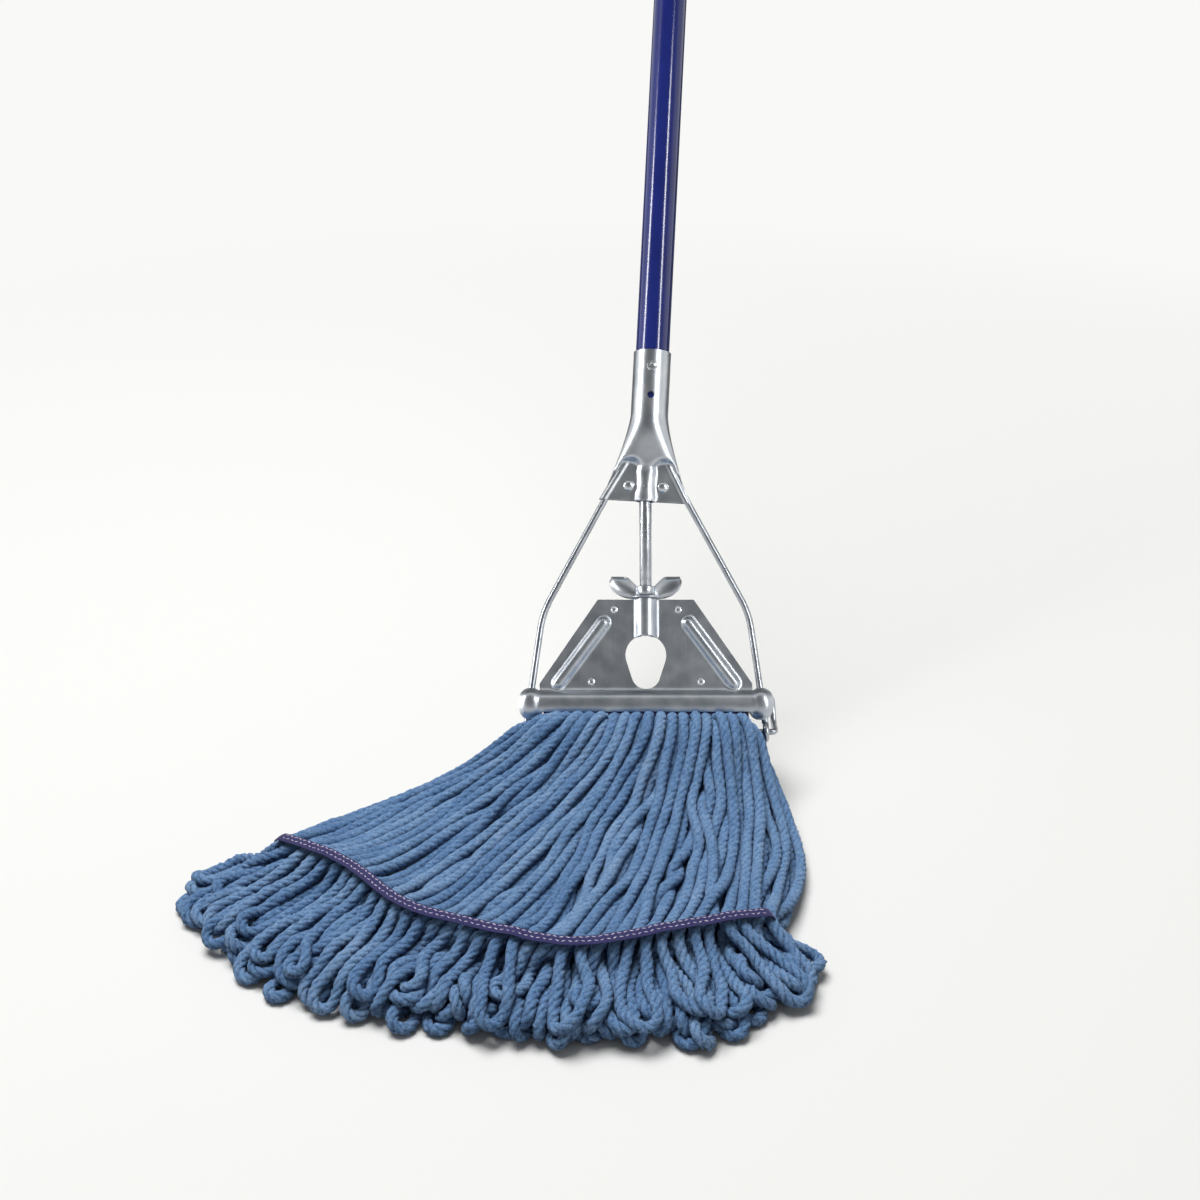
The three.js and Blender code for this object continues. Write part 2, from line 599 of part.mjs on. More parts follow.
const jaw = jawSolid();
const frontHalf = toSolid(box(-120, 120, -40, -SPLIT, -40, 120));
const rearHalf = toSolid(box(-120, 120, SPLIT, 40, -40, 120));
add(headGroup, 'jaw_front_plate', toGeometry(jaw.intersect(frontHalf)), zinc());
add(headGroup, 'jaw_rear_plate', toGeometry(jaw.intersect(rearHalf)), zinc());
EYELETS.forEach((place, i) => add(headGroup, `jaw_eyelet_${i + 1}`, eyelet(place), zinc()));
add(headGroup, 'wing_nut', wingNut(), zinc());

add(headGroup, 'headband', headband(), bandBlue());
add(floorGroup, 'yarn_upper', yarnUpper(), yarnBlue());
add(floorGroup, 'yarn_lower', yarnLower(), yarnBlue());
add(floorGroup, 'fringe_upper', fringeUpper(), yarnBlue());
add(floorGroup, 'fringe_lower', fringeLower(), yarnBlue());
add(floorGroup, 'tail_band_upper', tailBand(heapTop, 1.2), bandBlue());
add(floorGroup, 'tail_band_lower', tailBand(() => 0, 0), bandBlue());

// the origin stands on the floor under the middle of the whole object
const extent = new THREE.Box3().setFromObject(group, true);
floorGroup.position.set(-(extent.min.x + extent.max.x) / 2, -(extent.min.y + extent.max.y) / 2, -extent.min.z);

export default group;
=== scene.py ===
"""A looped-end string mop in a screw-down jaw head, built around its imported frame.

Hardware is drawn in millimetres in the head's own frame: x across the jaw, y to the rear and z up
along the screw rod, from the underside of the jaw bar. The yarn is drawn in millimetres over the
floor, from the point under the middle of the bar. Every finished mesh is in metres, in place.
"""

import json
import math

import bmesh
import bpy
import numpy as np
from bpy.props import FloatProperty, FloatVectorProperty, IntProperty, PointerProperty
from mathutils import Matrix, Vector


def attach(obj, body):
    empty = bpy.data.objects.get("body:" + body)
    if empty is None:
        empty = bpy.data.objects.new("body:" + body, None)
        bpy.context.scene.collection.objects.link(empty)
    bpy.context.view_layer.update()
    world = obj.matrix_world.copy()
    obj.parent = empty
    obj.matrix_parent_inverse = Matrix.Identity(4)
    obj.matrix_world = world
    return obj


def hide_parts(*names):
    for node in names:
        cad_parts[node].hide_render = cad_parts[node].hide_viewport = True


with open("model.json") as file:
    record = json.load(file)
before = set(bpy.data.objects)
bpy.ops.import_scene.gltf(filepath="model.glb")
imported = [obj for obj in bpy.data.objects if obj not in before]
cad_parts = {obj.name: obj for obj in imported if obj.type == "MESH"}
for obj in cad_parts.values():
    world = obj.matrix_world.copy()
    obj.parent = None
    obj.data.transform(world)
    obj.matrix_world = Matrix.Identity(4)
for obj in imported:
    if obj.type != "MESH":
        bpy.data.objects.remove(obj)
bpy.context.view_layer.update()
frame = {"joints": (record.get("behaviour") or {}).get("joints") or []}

bl_info = {
    "name": "String Mop",
    "version": (1, 0, 0),
    "blender": (4, 5, 0),
    "location": "View3D > Sidebar > Mop",
    "description": "Builds a looped-end string mop on its packed frame",
    "category": "Add Mesh",
}

MM = 0.001
ROOT = "handle_and_mop"

# ---- where the head stands, from the joints of the frame ----
JOINTS = {joint["name"]: joint for joint in frame["joints"]}
ROD_AXIS = Vector(JOINTS["jaw_lift"]["axis"])
ACROSS = Vector((1, 0, 0))
GATE_Z = -14.0
CANT_PIVOT = 155.0
HANDLE_CANT = math.radians(3)
HANDLE_LEAN = math.atan2(ROD_AXIS.y, ROD_AXIS.z)

bar_middle = Vector(JOINTS["gate_swing"]["pos_m"]) - ROD_AXIS * GATE_Z * MM
turn = Matrix((ACROSS, ROD_AXIS.cross(ACROSS), ROD_AXIS)).transposed().to_4x4()
HEAD = Matrix.Translation(bar_middle) @ turn @ Matrix.Scale(MM, 4)
CANT = (
    Matrix.Translation((0, 0, CANT_PIVOT))
    @ Matrix.Rotation(HANDLE_CANT, 4, "Y")
    @ Matrix.Translation((0, 0, -CANT_PIVOT))
)
HANDLE = HEAD @ CANT
FLOOR = Matrix.Translation((bar_middle.x, bar_middle.y, 0)) @ Matrix.Scale(MM, 4)
HEAD_TO_FLOOR = FLOOR.inverted() @ HEAD

# ---- hardware sizes, in millimetres ----
TUBE_RADIUS = 12.0
TUBE_WALL = 1.0
TUBE_FOOT = 206.0
TUBE_TOP = 1406.0
CAP_RADIUS = 12.8
CAP_HOLE_RADIUS = 4.5
SOCKET_RADIUS = 13.4
SOCKET_FOOT = 150.0
SOCKET_TOP = 258.0
SOCKET_RIVET_HEIGHT = 246.0
SOCKET_WALL = 1.1
SOCKET_FLARE = 18.2
SIGHT_HOLE_HEIGHT = 225.0
SIGHT_HOLE_RADIUS = 2.5
PRESS_TOP = 206.0  # the round socket is pressed flat from here
PRESS_FOOT = 168.0  # down to here
PRESS_SQUARE = 0.62  # how square the flat part's outline is; 1 is round
FAN_RIVET_HEIGHT = 160.5
FAN_RIVET_OFFSET = 12.0
ROD_RADIUS = 4.4
ROD_FOOT = 54.0
ROD_TOP = 180.0
THREAD_TOP = 134.0
THREAD_PITCH = 1.5
THREAD_DEPTH = 0.13
WIRE_RADIUS = 2.4
GATE_RADIUS = 2.2
EYE_RADIUS = 5.1
BEND_X = 73.0
BEND_Z = 70.0
UPPER_SPLAY = 0.5416
LOWER_SPLAY = 0.141
SHEET = 1.2
HALF_SPLIT = 0.15
NUT_SEAT = 80.3
WING_THICKNESS = 1.5
EYELETS = ((-22.7, 72.3), (22.7, 72.3), (-38.6, 21.2), (38.6, 21.2))

# ---- yarn sizes, in millimetres ----
LEGS = 36
LOOPS = LEGS // 2
STEP = 5.0
HALF_WIDTH = 71.0
BAND_WIDTH = 8.0
SECTION_SIDES = 16
DECLARED_LOOPS = 40
LOOPS_TO_A_PIECE = 12


# ---- small tools ----
def linear(code):
    """Turns an sRGB hex colour to linear red, green, blue and full alpha."""
    values = [int(code[i:i + 2], 16) / 255 for i in (0, 2, 4)]
    return [v / 12.92 if v <= 0.04045 else ((v + 0.055) / 1.055) ** 2.4 for v in values] + [1.0]


def mix(a, b, share):
    """A value a share of the way from a to b."""
    return a + (b - a) * share


def smoothstep(low, high, value):
    """Eases from 0 at low to 1 at high."""
    share = min(1.0, max(0.0, (value - low) / (high - low)))
    return share * share * (3 - 2 * share)


def add_node(tree, kind, inputs=None, stops=(), **settings):
    """Adds a shader node. An input is a plain value, or another node's output to link.

    A colour ramp's stops are pairs of a place and a hex colour.
    """
    made = tree.nodes.new(kind)
    for name, value in settings.items():
        setattr(made, name, value)
    for name, value in (inputs or {}).items():
        if isinstance(value, bpy.types.NodeSocket):
            tree.links.new(value, made.inputs[name])
        else:
            made.inputs[name].default_value = value
    if stops:
        elements = made.color_ramp.elements
        while len(elements) < len(stops):
            elements.new(0.5)
        for element, (place, code) in zip(elements, stops):
            element.position = place
            element.color = linear(code)
    return made


def new_material(name):
    """A material and its emptied node tree."""
    material = bpy.data.materials.new(name)
    material.use_nodes = True
    material.node_tree.nodes.clear()
    return material, material.node_tree


def finish_material(material, tree, shader):
    """Links the last shader to the material's output."""
    add_node(tree, "ShaderNodeOutputMaterial", {"Surface": shader.outputs[0]})
    return material


def even(points, count):
    """The same line with its points spread evenly."""
    along = np.concatenate([[0], np.cumsum(np.linalg.norm(np.diff(points, axis=0), axis=1))])
    at = np.linspace(0, along[-1], count)
    return np.stack([np.interp(at, along, points[:, k]) for k in range(points.shape[1])], axis=1)


def length_of(points):
    """The length of a line of points."""
    return float(np.linalg.norm(np.diff(points, axis=0), axis=1).sum())


def curve_through(points, per_span=24):
    """A smooth line through given points."""
    p = np.array(points, float)
    p = np.vstack([2 * p[0] - p[1], p, 2 * p[-1] - p[-2]])
    t = np.linspace(0, 1, per_span, endpoint=False)[:, None]
    spans = [
        0.5 * (
            2 * b + (c - a) * t + (2 * a - 5 * b + 4 * c - d) * t**2
            + (3 * b - a - 3 * c + d) * t**3
        )
        for a, b, c, d in zip(p[:-3], p[1:-2], p[2:-1], p[3:])
    ]
    return np.vstack(spans + [p[-2:-1]])


def bend_between(points, radius, steps=8):
    """Straight runs between points, joined by round bends."""
    corners = [np.array(p, float) for p in points]
    line = [corners[0]]
    for before, corner, after in zip(corners, corners[1:], corners[2:]):
        start = corner + radius * (before - corner) / np.linalg.norm(before - corner)
        end = corner + radius * (after - corner) / np.linalg.norm(after - corner)
        for t in np.linspace(0, 1, steps + 1):
            line.append((1 - t) ** 2 * start + 2 * t * (1 - t) * corner + t**2 * end)
    line.append(corners[-1])
    return np.array(line)


def add_object(name, data):
    """Links a new object to the scene."""
    made = bpy.data.objects.new(name, data)
    bpy.context.scene.collection.objects.link(made)
    return made


def mesh_from(name, bm):
    """Turns a bmesh into a mesh, and frees it."""
    mesh = bpy.data.meshes.new(name)
    bm.to_mesh(mesh)
    bm.free()
    return mesh


def take_in(bm, mesh):
    """Adds a mesh to a bmesh, and removes the mesh."""
    bm.from_mesh(mesh)
    bpy.data.meshes.remove(mesh)
    return bm


def evaluated_mesh(thing):
    """A new mesh of an object as its bevel or its modifiers leave it."""
    bpy.context.view_layer.update()
    depsgraph = bpy.context.evaluated_depsgraph_get()
    return bpy.data.meshes.new_from_object(thing.evaluated_get(depsgraph))


def make_piece(name, bm, place, body, material, replaced=(), crease=40):
    """Turns a bmesh drawn in millimetres into a finished piece in its place."""
    bmesh.ops.transform(bm, matrix=place, verts=bm.verts)
    return show_mesh(name, mesh_from(name, bm), body, material, replaced, crease)


def show_mesh(name, mesh, body, material, replaced=(), crease=None):
    """Shows a mesh that is already in its place; edges sharper than crease degrees stay sharp."""
    piece = add_object(name, mesh)
    mesh.materials.clear()
    mesh.materials.append(material)
    mesh.shade_smooth()
    if crease:
        mesh.set_sharp_from_angle(angle=math.radians(crease))
    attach(piece, body)
    if replaced:
        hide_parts(*replaced)
    return piece


def turn_outwards(bm, pick=None, front_or_back=1):
    """Turns the faces outwards; the one that pick finds faces back at 1, and front at -1."""
    bmesh.ops.recalc_face_normals(bm, faces=bm.faces)
    if pick and pick(bm.faces).normal.y * front_or_back < 0:
        bmesh.ops.reverse_faces(bm, faces=bm.faces)


def thicken(bm, thickness):
    """Gives an open sheet a wall behind its outside."""
    bmesh.ops.solidify(bm, geom=bm.faces[:], thickness=thickness)


def smooth_depth(bm, verts, factor):
    """Evens out how far a pressed sheet stands front or back."""
    for _ in range(2):
        bmesh.ops.smooth_vert(
            bm, verts=verts, factor=factor, use_axis_x=False, use_axis_y=True, use_axis_z=False
        )


def parts_of(made, kind):
    """The vertices or the edges of an operator's result."""
    return [item for item in made if isinstance(item, kind)]


def turned(profile, steps=48):
    """A piece turned about z from (radius, height) pairs."""
    bm = bmesh.new()
    verts = [bm.verts.new((radius, 0, height)) for radius, height in profile]
    edges = [bm.edges.new(pair) for pair in zip(verts, verts[1:])]
    bmesh.ops.spin(
        bm, geom=verts + edges, cent=(0, 0, 0), axis=(0, 0, 1), angle=math.tau, steps=steps,
        use_merge=True,
    )
    bmesh.ops.remove_doubles(bm, verts=bm.verts, dist=1e-4)
    turn_outwards(bm)
    return bm


def across_at(x, y, z):
    """The place of something that lies front to back, its own height to the front."""
    return Matrix.Translation((x, y, z)) @ Matrix.Rotation(math.pi / 2, 4, "X")


def turned_crossways(profile, x, z, steps=32):
    """A turned piece that lies front to back through (x, z), its own height to the front."""
    bm = turned(profile, steps)
    bmesh.ops.transform(bm, matrix=across_at(x, 0, z), verts=bm.verts)
    return bm


def join(bm, *others):
    """Adds other bmeshes to the first."""
    for other in others:
        take_in(bm, mesh_from("spare", other))
    return bm


def swept_mesh(name, points, radius, sides=16, lobes=None, twist=None, swell=None):
    """A round or lobed tube along a line, as a mesh; twist is in radians at each point."""
    curve = bpy.data.curves.new(name, "CURVE")
    curve.dimensions = "3D"
    curve.twist_mode = "MINIMUM"
    curve.use_fill_caps = True
    spline = curve.splines.new("POLY")
    spline.points.add(len(points) - 1)
    spline.points.foreach_set("co", np.column_stack([points, np.ones(len(points))]).ravel())
    if twist is not None:
        spline.points.foreach_set("tilt", twist)
    if swell is not None:
        spline.points.foreach_set("radius", swell)
    if lobes is None:
        curve.bevel_depth = radius
        curve.bevel_resolution = max(0, sides // 4 - 1)
    else:
        curve.bevel_mode = "OBJECT"
        curve.bevel_object = lobes
    holder = add_object(name, curve)
    mesh = evaluated_mesh(holder)
    bpy.data.objects.remove(holder)
    bpy.data.curves.remove(curve)
    return mesh


def swept(points, radius, sides=16):
    """A round wire along a line, as a bmesh."""
    return take_in(bmesh.new(), swept_mesh("wire", points, radius, sides))


def cut(bm, *cutters):
    """Cuts other closed bmeshes out of the first."""
    body = add_object("body", bpy.data.meshes.new("body"))
    bm.to_mesh(body.data)
    bm.clear()
    tool = add_object("tool", mesh_from("tool", join(*cutters)))
    boolean = body.modifiers.new("cut", "BOOLEAN")
    boolean.object = tool
    boolean.operation = "DIFFERENCE"
    boolean.solver = "EXACT"
    take_in(bm, evaluated_mesh(body))
    for part in (body, tool):
        bpy.data.objects.remove(part)
    return bm


def crossways_pin(radius, x, z, y0, y1, segments=32):
    """A plain pin from y0 to y1 through (x, z), used to cut round holes."""
    bm = bmesh.new()
    bmesh.ops.create_cone(
        bm, cap_ends=True, segments=segments, radius1=radius, radius2=radius, depth=y1 - y0,
        matrix=across_at(x, (y0 + y1) / 2, z),
    )
    return bm


# ---- finishes ----
def yarn_cotton():
    """Dyed cotton yarn, plied and worn: matt, a soft bloom of loose fibre over painted shade in
    the grooves and on the underside.
    """
    material, tree = new_material("dyed cotton yarn")
    place = add_node(tree, "ShaderNodeTexCoord").outputs["Object"]
    # painted shade, stored under the name groove: the grooves between the plies and the side
    # turned down are mixed toward a deep colour
    painted_ply_shade = add_node(tree, "ShaderNodeAttribute", attribute_name="groove").outputs["Fac"]
    tone = add_node(tree, "ShaderNodeAttribute", attribute_name="tone").outputs["Fac"]
    # loose fibre gathers in tufts about 2 mm across
    tufts = add_node(tree, "ShaderNodeTexNoise", {
        "Vector": place, "Scale": 480.0, "Detail": 3.0, "Roughness": 0.65,
    }).outputs[0]
    # single fibres are far finer than 0.5 mm; they are drawn at that size so that they show
    fibres = add_node(tree, "ShaderNodeTexNoise", {
        "Vector": place, "Scale": 1900.0, "Detail": 2.0,
    }).outputs[0]
    # dye takes unevenly over 20 mm or so of yarn
    dye = add_node(tree, "ShaderNodeTexNoise", {
        "Vector": place, "Scale": 45.0, "Detail": 2.0,
    }).outputs[0]
    shade = add_node(tree, "ShaderNodeMath", {0: tufts, 1: 0.55}, operation="MULTIPLY")
    for part, share in ((fibres, 0.25), (dye, 0.2), (tone, 0.1)):
        shade = add_node(
            tree, "ShaderNodeMath", {0: part, 1: share, 2: shade.outputs[0]},
            operation="MULTIPLY_ADD",
        )
    colour = add_node(tree, "ShaderNodeValToRGB", {0: shade.outputs[0]}, stops=(
        (0.40, "4C6E9B"), (0.55, "6B8FBA"), (0.70, "8FACCE"), (0.90, "B9CAE0"),
    )).outputs[0]
    # the bloom of fibre hides much of the painted shade in the grooves between the plies
    bare = add_node(tree, "ShaderNodeMapRange", {0: tufts, 1: 0.38, 2: 0.64, 3: 1.0, 4: 0.35})
    painted_shade_seen = add_node(tree, "ShaderNodeMath", {0: bare.outputs[0], 1: painted_ply_shade}, operation="MULTIPLY")
    painted_shade_mix = add_node(
        tree, "ShaderNodeMix",
        {0: painted_shade_seen.outputs[0], 6: colour, 7: bpy.context.scene.mop.painted_shade_colour},
        data_type="RGBA", blend_type="MIX",
    )
    height = add_node(
        tree, "ShaderNodeMath", {0: tufts, 1: 0.7, 2: fibres}, operation="MULTIPLY_ADD"
    )
    bump = add_node(tree, "ShaderNodeBump", {
        "Height": height.outputs[0], "Strength": 0.9, "Distance": 0.0009,
    })
    shader = add_node(tree, "ShaderNodeBsdfPrincipled", {
        "Base Color": painted_shade_mix.outputs[2], "Roughness": 0.95, "Normal": bump.outputs[0],
        "Sheen Weight": 0.35, "Sheen Roughness": 0.5, "Sheen Tint": linear("A8C0E0"),
        "Specular IOR Level": 0.15,
    })
    return finish_material(material, tree, shader)


def woven_tape():
    """Woven polyester tape: navy, faintly shiny, with a fine rib across its width."""
    material, tree = new_material("woven polyester tape")
    uv = add_node(tree, "ShaderNodeUVMap", uv_map="UVMap").outputs[0]
    # picks every 0.8 mm along the tape; its map runs in metres
    rib = add_node(
        tree, "ShaderNodeTexWave", {"Vector": uv, "Scale": 1250 / math.tau, "Distortion": 0.6},
        bands_direction="X",
    ).outputs["Fac"]
    grain = add_node(tree, "ShaderNodeTexNoise", {"Vector": uv, "Scale": 900.0, "Detail": 2.0})
    factor = add_node(
        tree, "ShaderNodeMath", {0: rib, 1: 0.5, 2: grain.outputs[0]}, operation="MULTIPLY_ADD"
    )
    colour = add_node(tree, "ShaderNodeValToRGB", {0: factor.outputs[0]}, stops=(
        (0.4, "201F4E"), (1.0, "38356E"),
    )).outputs[0]
    bump = add_node(tree, "ShaderNodeBump", {"Height": rib, "Strength": 0.6, "Distance": 0.0003})
    shader = add_node(tree, "ShaderNodeBsdfPrincipled", {
        "Base Color": colour, "Roughness": 0.75, "Normal": bump.outputs[0], "Sheen Weight": 0.2,
    })
    return finish_material(material, tree, shader)


def stitch_thread():
    """Spun sewing thread: pale pink, matt, with a slight gleam along each stitch."""
    material, tree = new_material("spun sewing thread")
    place = add_node(tree, "ShaderNodeTexCoord").outputs["Object"]
    uneven = add_node(tree, "ShaderNodeTexNoise", {
        "Vector": place, "Scale": 700.0, "Detail": 2.0,
    })
    colour = add_node(tree, "ShaderNodeValToRGB", {0: uneven.outputs[0]}, stops=(
        (0.3, "BDAECB"), (0.7, "F0E6EE"),
    )).outputs[0]
    shader = add_node(tree, "ShaderNodeBsdfPrincipled", {
        "Base Color": colour, "Roughness": 0.6, "Sheen Weight": 0.3,
    })
    return finish_material(material, tree, shader)


def zinc(name, grain, roughness, tint_light, tint_dark, bump_depth):
    """Zinc-plated steel: bright bluish grey, with the rolling or drawing marks of the steel."""
    material, tree = new_material(name)
    place = add_node(tree, "ShaderNodeTexCoord").outputs["Object"]
    upright = add_node(
        tree, "ShaderNodeMapping", {"Vector": place, "Rotation": (HANDLE_LEAN, 0, 0)}
    )
    stretched = add_node(
        tree, "ShaderNodeMapping", {"Vector": upright.outputs[0], "Scale": grain}
    )
    marks = add_node(tree, "ShaderNodeTexNoise", {
        "Vector": stretched.outputs[0], "Scale": 1.0, "Detail": 5.0,
    }).outputs[0]
    # the plating clouds over patches about 15 mm wide
    cloud = add_node(tree, "ShaderNodeTexNoise", {
        "Vector": place, "Scale": 70.0, "Detail": 3.0,
    }).outputs[0]
    colour = add_node(tree, "ShaderNodeValToRGB", {0: cloud}, stops=(
        (0.3, tint_dark), (0.7, tint_light),
    )).outputs[0]
    mark_rough = add_node(
        tree, "ShaderNodeMath", {0: marks, 1: 0.1, 2: roughness - 0.08}, operation="MULTIPLY_ADD"
    )
    rough = add_node(
        tree, "ShaderNodeMath", {0: cloud, 1: 0.08, 2: mark_rough.outputs[0]},
        operation="MULTIPLY_ADD",
    )
    bump = add_node(tree, "ShaderNodeBump", {
        "Height": marks, "Strength": 0.12, "Distance": bump_depth,
    })
    shader = add_node(tree, "ShaderNodeBsdfPrincipled", {
        "Base Color": colour, "Metallic": 1.0, "Roughness": rough.outputs[0],
        "Normal": bump.outputs[0],
    })
    return finish_material(material, tree, shader)


def handle_coating():
    """Extruded plastic coating on steel tube: deep glossy blue with a faint ripple."""
    material, tree = new_material("extruded plastic coating")
    place = add_node(tree, "ShaderNodeTexCoord").outputs["Object"]
    cloud = add_node(tree, "ShaderNodeTexNoise", {"Vector": place, "Scale": 30.0, "Detail": 2.0})
    colour = add_node(tree, "ShaderNodeValToRGB", {0: cloud.outputs[0]}, stops=(
        (0.3, "0E1D6C"), (0.7, "13257A"),
    )).outputs[0]
    # the coating ripples over about 6 mm
    ripple = add_node(tree, "ShaderNodeTexNoise", {
        "Vector": place, "Scale": 160.0, "Detail": 1.0,
    })
    bump = add_node(tree, "ShaderNodeBump", {
        "Height": ripple.outputs[0], "Strength": 0.12, "Distance": 0.0002,
    })
    shader = add_node(tree, "ShaderNodeBsdfPrincipled", {
        "Base Color": colour, "Roughness": 0.16, "Normal": bump.outputs[0], "IOR": 1.49,
        "Coat Weight": 0.4, "Coat Roughness": 0.08,
    })
    return finish_material(material, tree, shader)


def cap_plastic():
    """Moulded polyethylene: blue, half matt with a fine mould texture."""
    material, tree = new_material("moulded polyethylene")
    place = add_node(tree, "ShaderNodeTexCoord").outputs["Object"]
    grain = add_node(tree, "ShaderNodeTexNoise", {
        "Vector": place, "Scale": 1400.0, "Detail": 2.0,
    })
    colour = add_node(tree, "ShaderNodeValToRGB", {0: grain.outputs[0]}, stops=(
        (0.3, "182A74"), (0.7, "1E3384"),
    )).outputs[0]
    bump = add_node(tree, "ShaderNodeBump", {
        "Height": grain.outputs[0], "Strength": 0.3, "Distance": 0.0002,
    })
    shader = add_node(tree, "ShaderNodeBsdfPrincipled", {
        "Base Color": colour, "Roughness": 0.5, "Normal": bump.outputs[0],
    })
    return finish_material(material, tree, shader)


# ---- settings ----
class MopSettings(bpy.types.PropertyGroup):
    """Sizes and colours of the mop."""

    yarn_diameter: FloatProperty(
        name="Yarn diameter", description="Thickness of one plied yarn",
        default=7.8 * MM, unit="LENGTH",
    )
    twist_pitch: FloatProperty(
        name="Twist pitch", description="Length of yarn in which its plies turn once",
        default=24 * MM, unit="LENGTH",
    )
    layers: IntProperty(
        name="Layers", description="Layers of yarn loops, one on another", default=5, min=3
    )
    seed: IntProperty(name="Seed", description="Picks another lie of the yarn", default=7)
    # painted shade: the colour laid into the grooves between the plies and on the yarn's underside
    painted_shade_colour: FloatVectorProperty(
        name="Groove colour", description="Colour deep between the plies",
        subtype="COLOR", size=4, default=linear("162848"),
    )
    floor_colour: FloatVectorProperty(
        name="Floor colour", description="Colour of the studio floor",
        subtype="COLOR", size=4, default=linear("E4E4E2"),
    )


# ---- the stage ----
BACKDROP = "F9F9F7"
FLOOR_REACH = 8.0
FLOOR_DROP = 0.0005
MIDDLE_OF_MOP = Vector((0.05, -0.3, 0))
LAMP_AIM = Vector((0.05, -0.3, 0.15))
FILL = 0.22  # how strongly the studio lights what isn't a mirror
OVERHEAD_POWER = 138
STRIP_POWER = 26
LOOK_DOWN = math.radians(28)


class MOP_OT_stage(bpy.types.Operator):
    """Make the floor, the studio light and the camera"""

    bl_idname = "mop.stage"
    bl_label = "Stage"

    def execute(self, context):
        scene = context.scene
        scene.view_settings.view_transform = "Standard"
        self.floor(scene)
        self.world(scene)
        self.lights()
        self.camera(scene)
        return {"FINISHED"}

    def floor(self, scene):
        bm = bmesh.new()
        bmesh.ops.create_grid(bm, x_segments=1, y_segments=1, size=FLOOR_REACH)
        bmesh.ops.translate(bm, vec=(0, 0, -FLOOR_DROP), verts=bm.verts)
        mesh = mesh_from("studio_floor", bm)
        mesh.materials.append(self.floor_paint(scene.mop))
        add_object("studio_floor", mesh)

    def floor_paint(self, settings):
        """Matt paint, nearly white, that turns into an evenly lit backdrop away from the mop."""
        material, tree = new_material("painted studio floor")
        path = add_node(tree, "ShaderNodeLightPath").outputs
        place = add_node(tree, "ShaderNodeTexCoord").outputs["Object"]
        behind = add_node(tree, "ShaderNodeSeparateXYZ", {0: place}).outputs["Y"]
        # metal edges see the floor far behind, where a real set falls into shade
        fall = add_node(tree, "ShaderNodeMapRange", {0: behind, 1: -0.1, 2: 0.5, 3: 0.0, 4: 0.85})
        shade = add_node(
            tree, "ShaderNodeMath", {0: fall.outputs[0], 1: path["Is Glossy Ray"]},
            operation="MULTIPLY",
        )
        colour = add_node(
            tree, "ShaderNodeMix",
            {0: shade.outputs[0], 6: settings.floor_colour, 7: linear("303234")},
            data_type="RGBA",
        )
        matt = add_node(tree, "ShaderNodeBsdfDiffuse", {"Color": colour.outputs[2]})
        # the floor sweeps up into the backdrop, which is evenly lit
        distance = add_node(
            tree, "ShaderNodeVectorMath", {0: place, 1: MIDDLE_OF_MOP}, operation="DISTANCE"
        ).outputs["Value"]
        away = add_node(tree, "ShaderNodeMapRange", {0: distance, 1: 0.4, 2: 1.5, 3: 0.0, 4: 1.0})
        sweep = add_node(
            tree, "ShaderNodeMath", {0: away.outputs[0], 1: path["Is Camera Ray"]},
            operation="MULTIPLY",
        )
        backdrop = add_node(
            tree, "ShaderNodeEmission", {"Color": linear(BACKDROP), "Strength": 1.0}
        )
        surface = add_node(tree, "ShaderNodeMixShader", {
            0: sweep.outputs[0], 1: matt.outputs[0], 2: backdrop.outputs[0],
        })
        return finish_material(material, tree, surface)

    def world(self, scene):
        scene.world = bpy.data.worlds.new("studio")
        scene.world.use_nodes = True
        tree = scene.world.node_tree
        tree.nodes.clear()
        path = add_node(tree, "ShaderNodeLightPath").outputs
        direct = add_node(
            tree, "ShaderNodeMath", {0: path["Is Camera Ray"], 1: path["Is Transmission Ray"]},
            operation="MAXIMUM",
        )
        # reflections see a dim studio with a pale strip overhead and paler walls left and right
        generated = add_node(tree, "ShaderNodeTexCoord").outputs["Generated"]
        way = add_node(tree, "ShaderNodeSeparateXYZ", {0: generated}).outputs
        off_strip = add_node(tree, "ShaderNodeMath", {0: way["Y"]}, operation="ABSOLUTE")
        strip = add_node(tree, "ShaderNodeMapRange", {
            0: off_strip.outputs[0], 1: 0.05, 2: 0.25, 3: 1.0, 4: 0.0,
        })
        aside = add_node(tree, "ShaderNodeMath", {0: way["X"]}, operation="ABSOLUTE")
        walls = add_node(tree, "ShaderNodeMapRange", {
            0: aside.outputs[0], 1: 0.6, 2: 0.95, 3: 0.2, 4: 0.45,
        })
        above = add_node(
            tree, "ShaderNodeMath", {0: strip.outputs[0], 1: way["Z"], 2: walls.outputs[0]},
            operation="MULTIPLY_ADD",
        )
        # and a pale horizon, which brightens the lower side of what lies across
        horizon = add_node(tree, "ShaderNodeMapRange", {
            0: way["Z"], 1: 0.0, 2: 0.5, 3: 0.85, 4: 0.0,
        })
        mirrored_studio = add_node(
            tree, "ShaderNodeMath", {0: above.outputs[0], 1: horizon.outputs[0]}, operation="ADD"
        )
        unseen = add_node(tree, "ShaderNodeMix", {
            0: path["Is Glossy Ray"], 2: FILL, 3: mirrored_studio.outputs[0],
        })
        strength = add_node(tree, "ShaderNodeMix", {
            0: direct.outputs[0], 2: unseen.outputs[0], 3: 1.0,
        })
        studio = add_node(tree, "ShaderNodeBackground", {
            0: linear(BACKDROP), 1: strength.outputs[0],
        })
        add_node(tree, "ShaderNodeOutputWorld", {0: studio.outputs[0]})

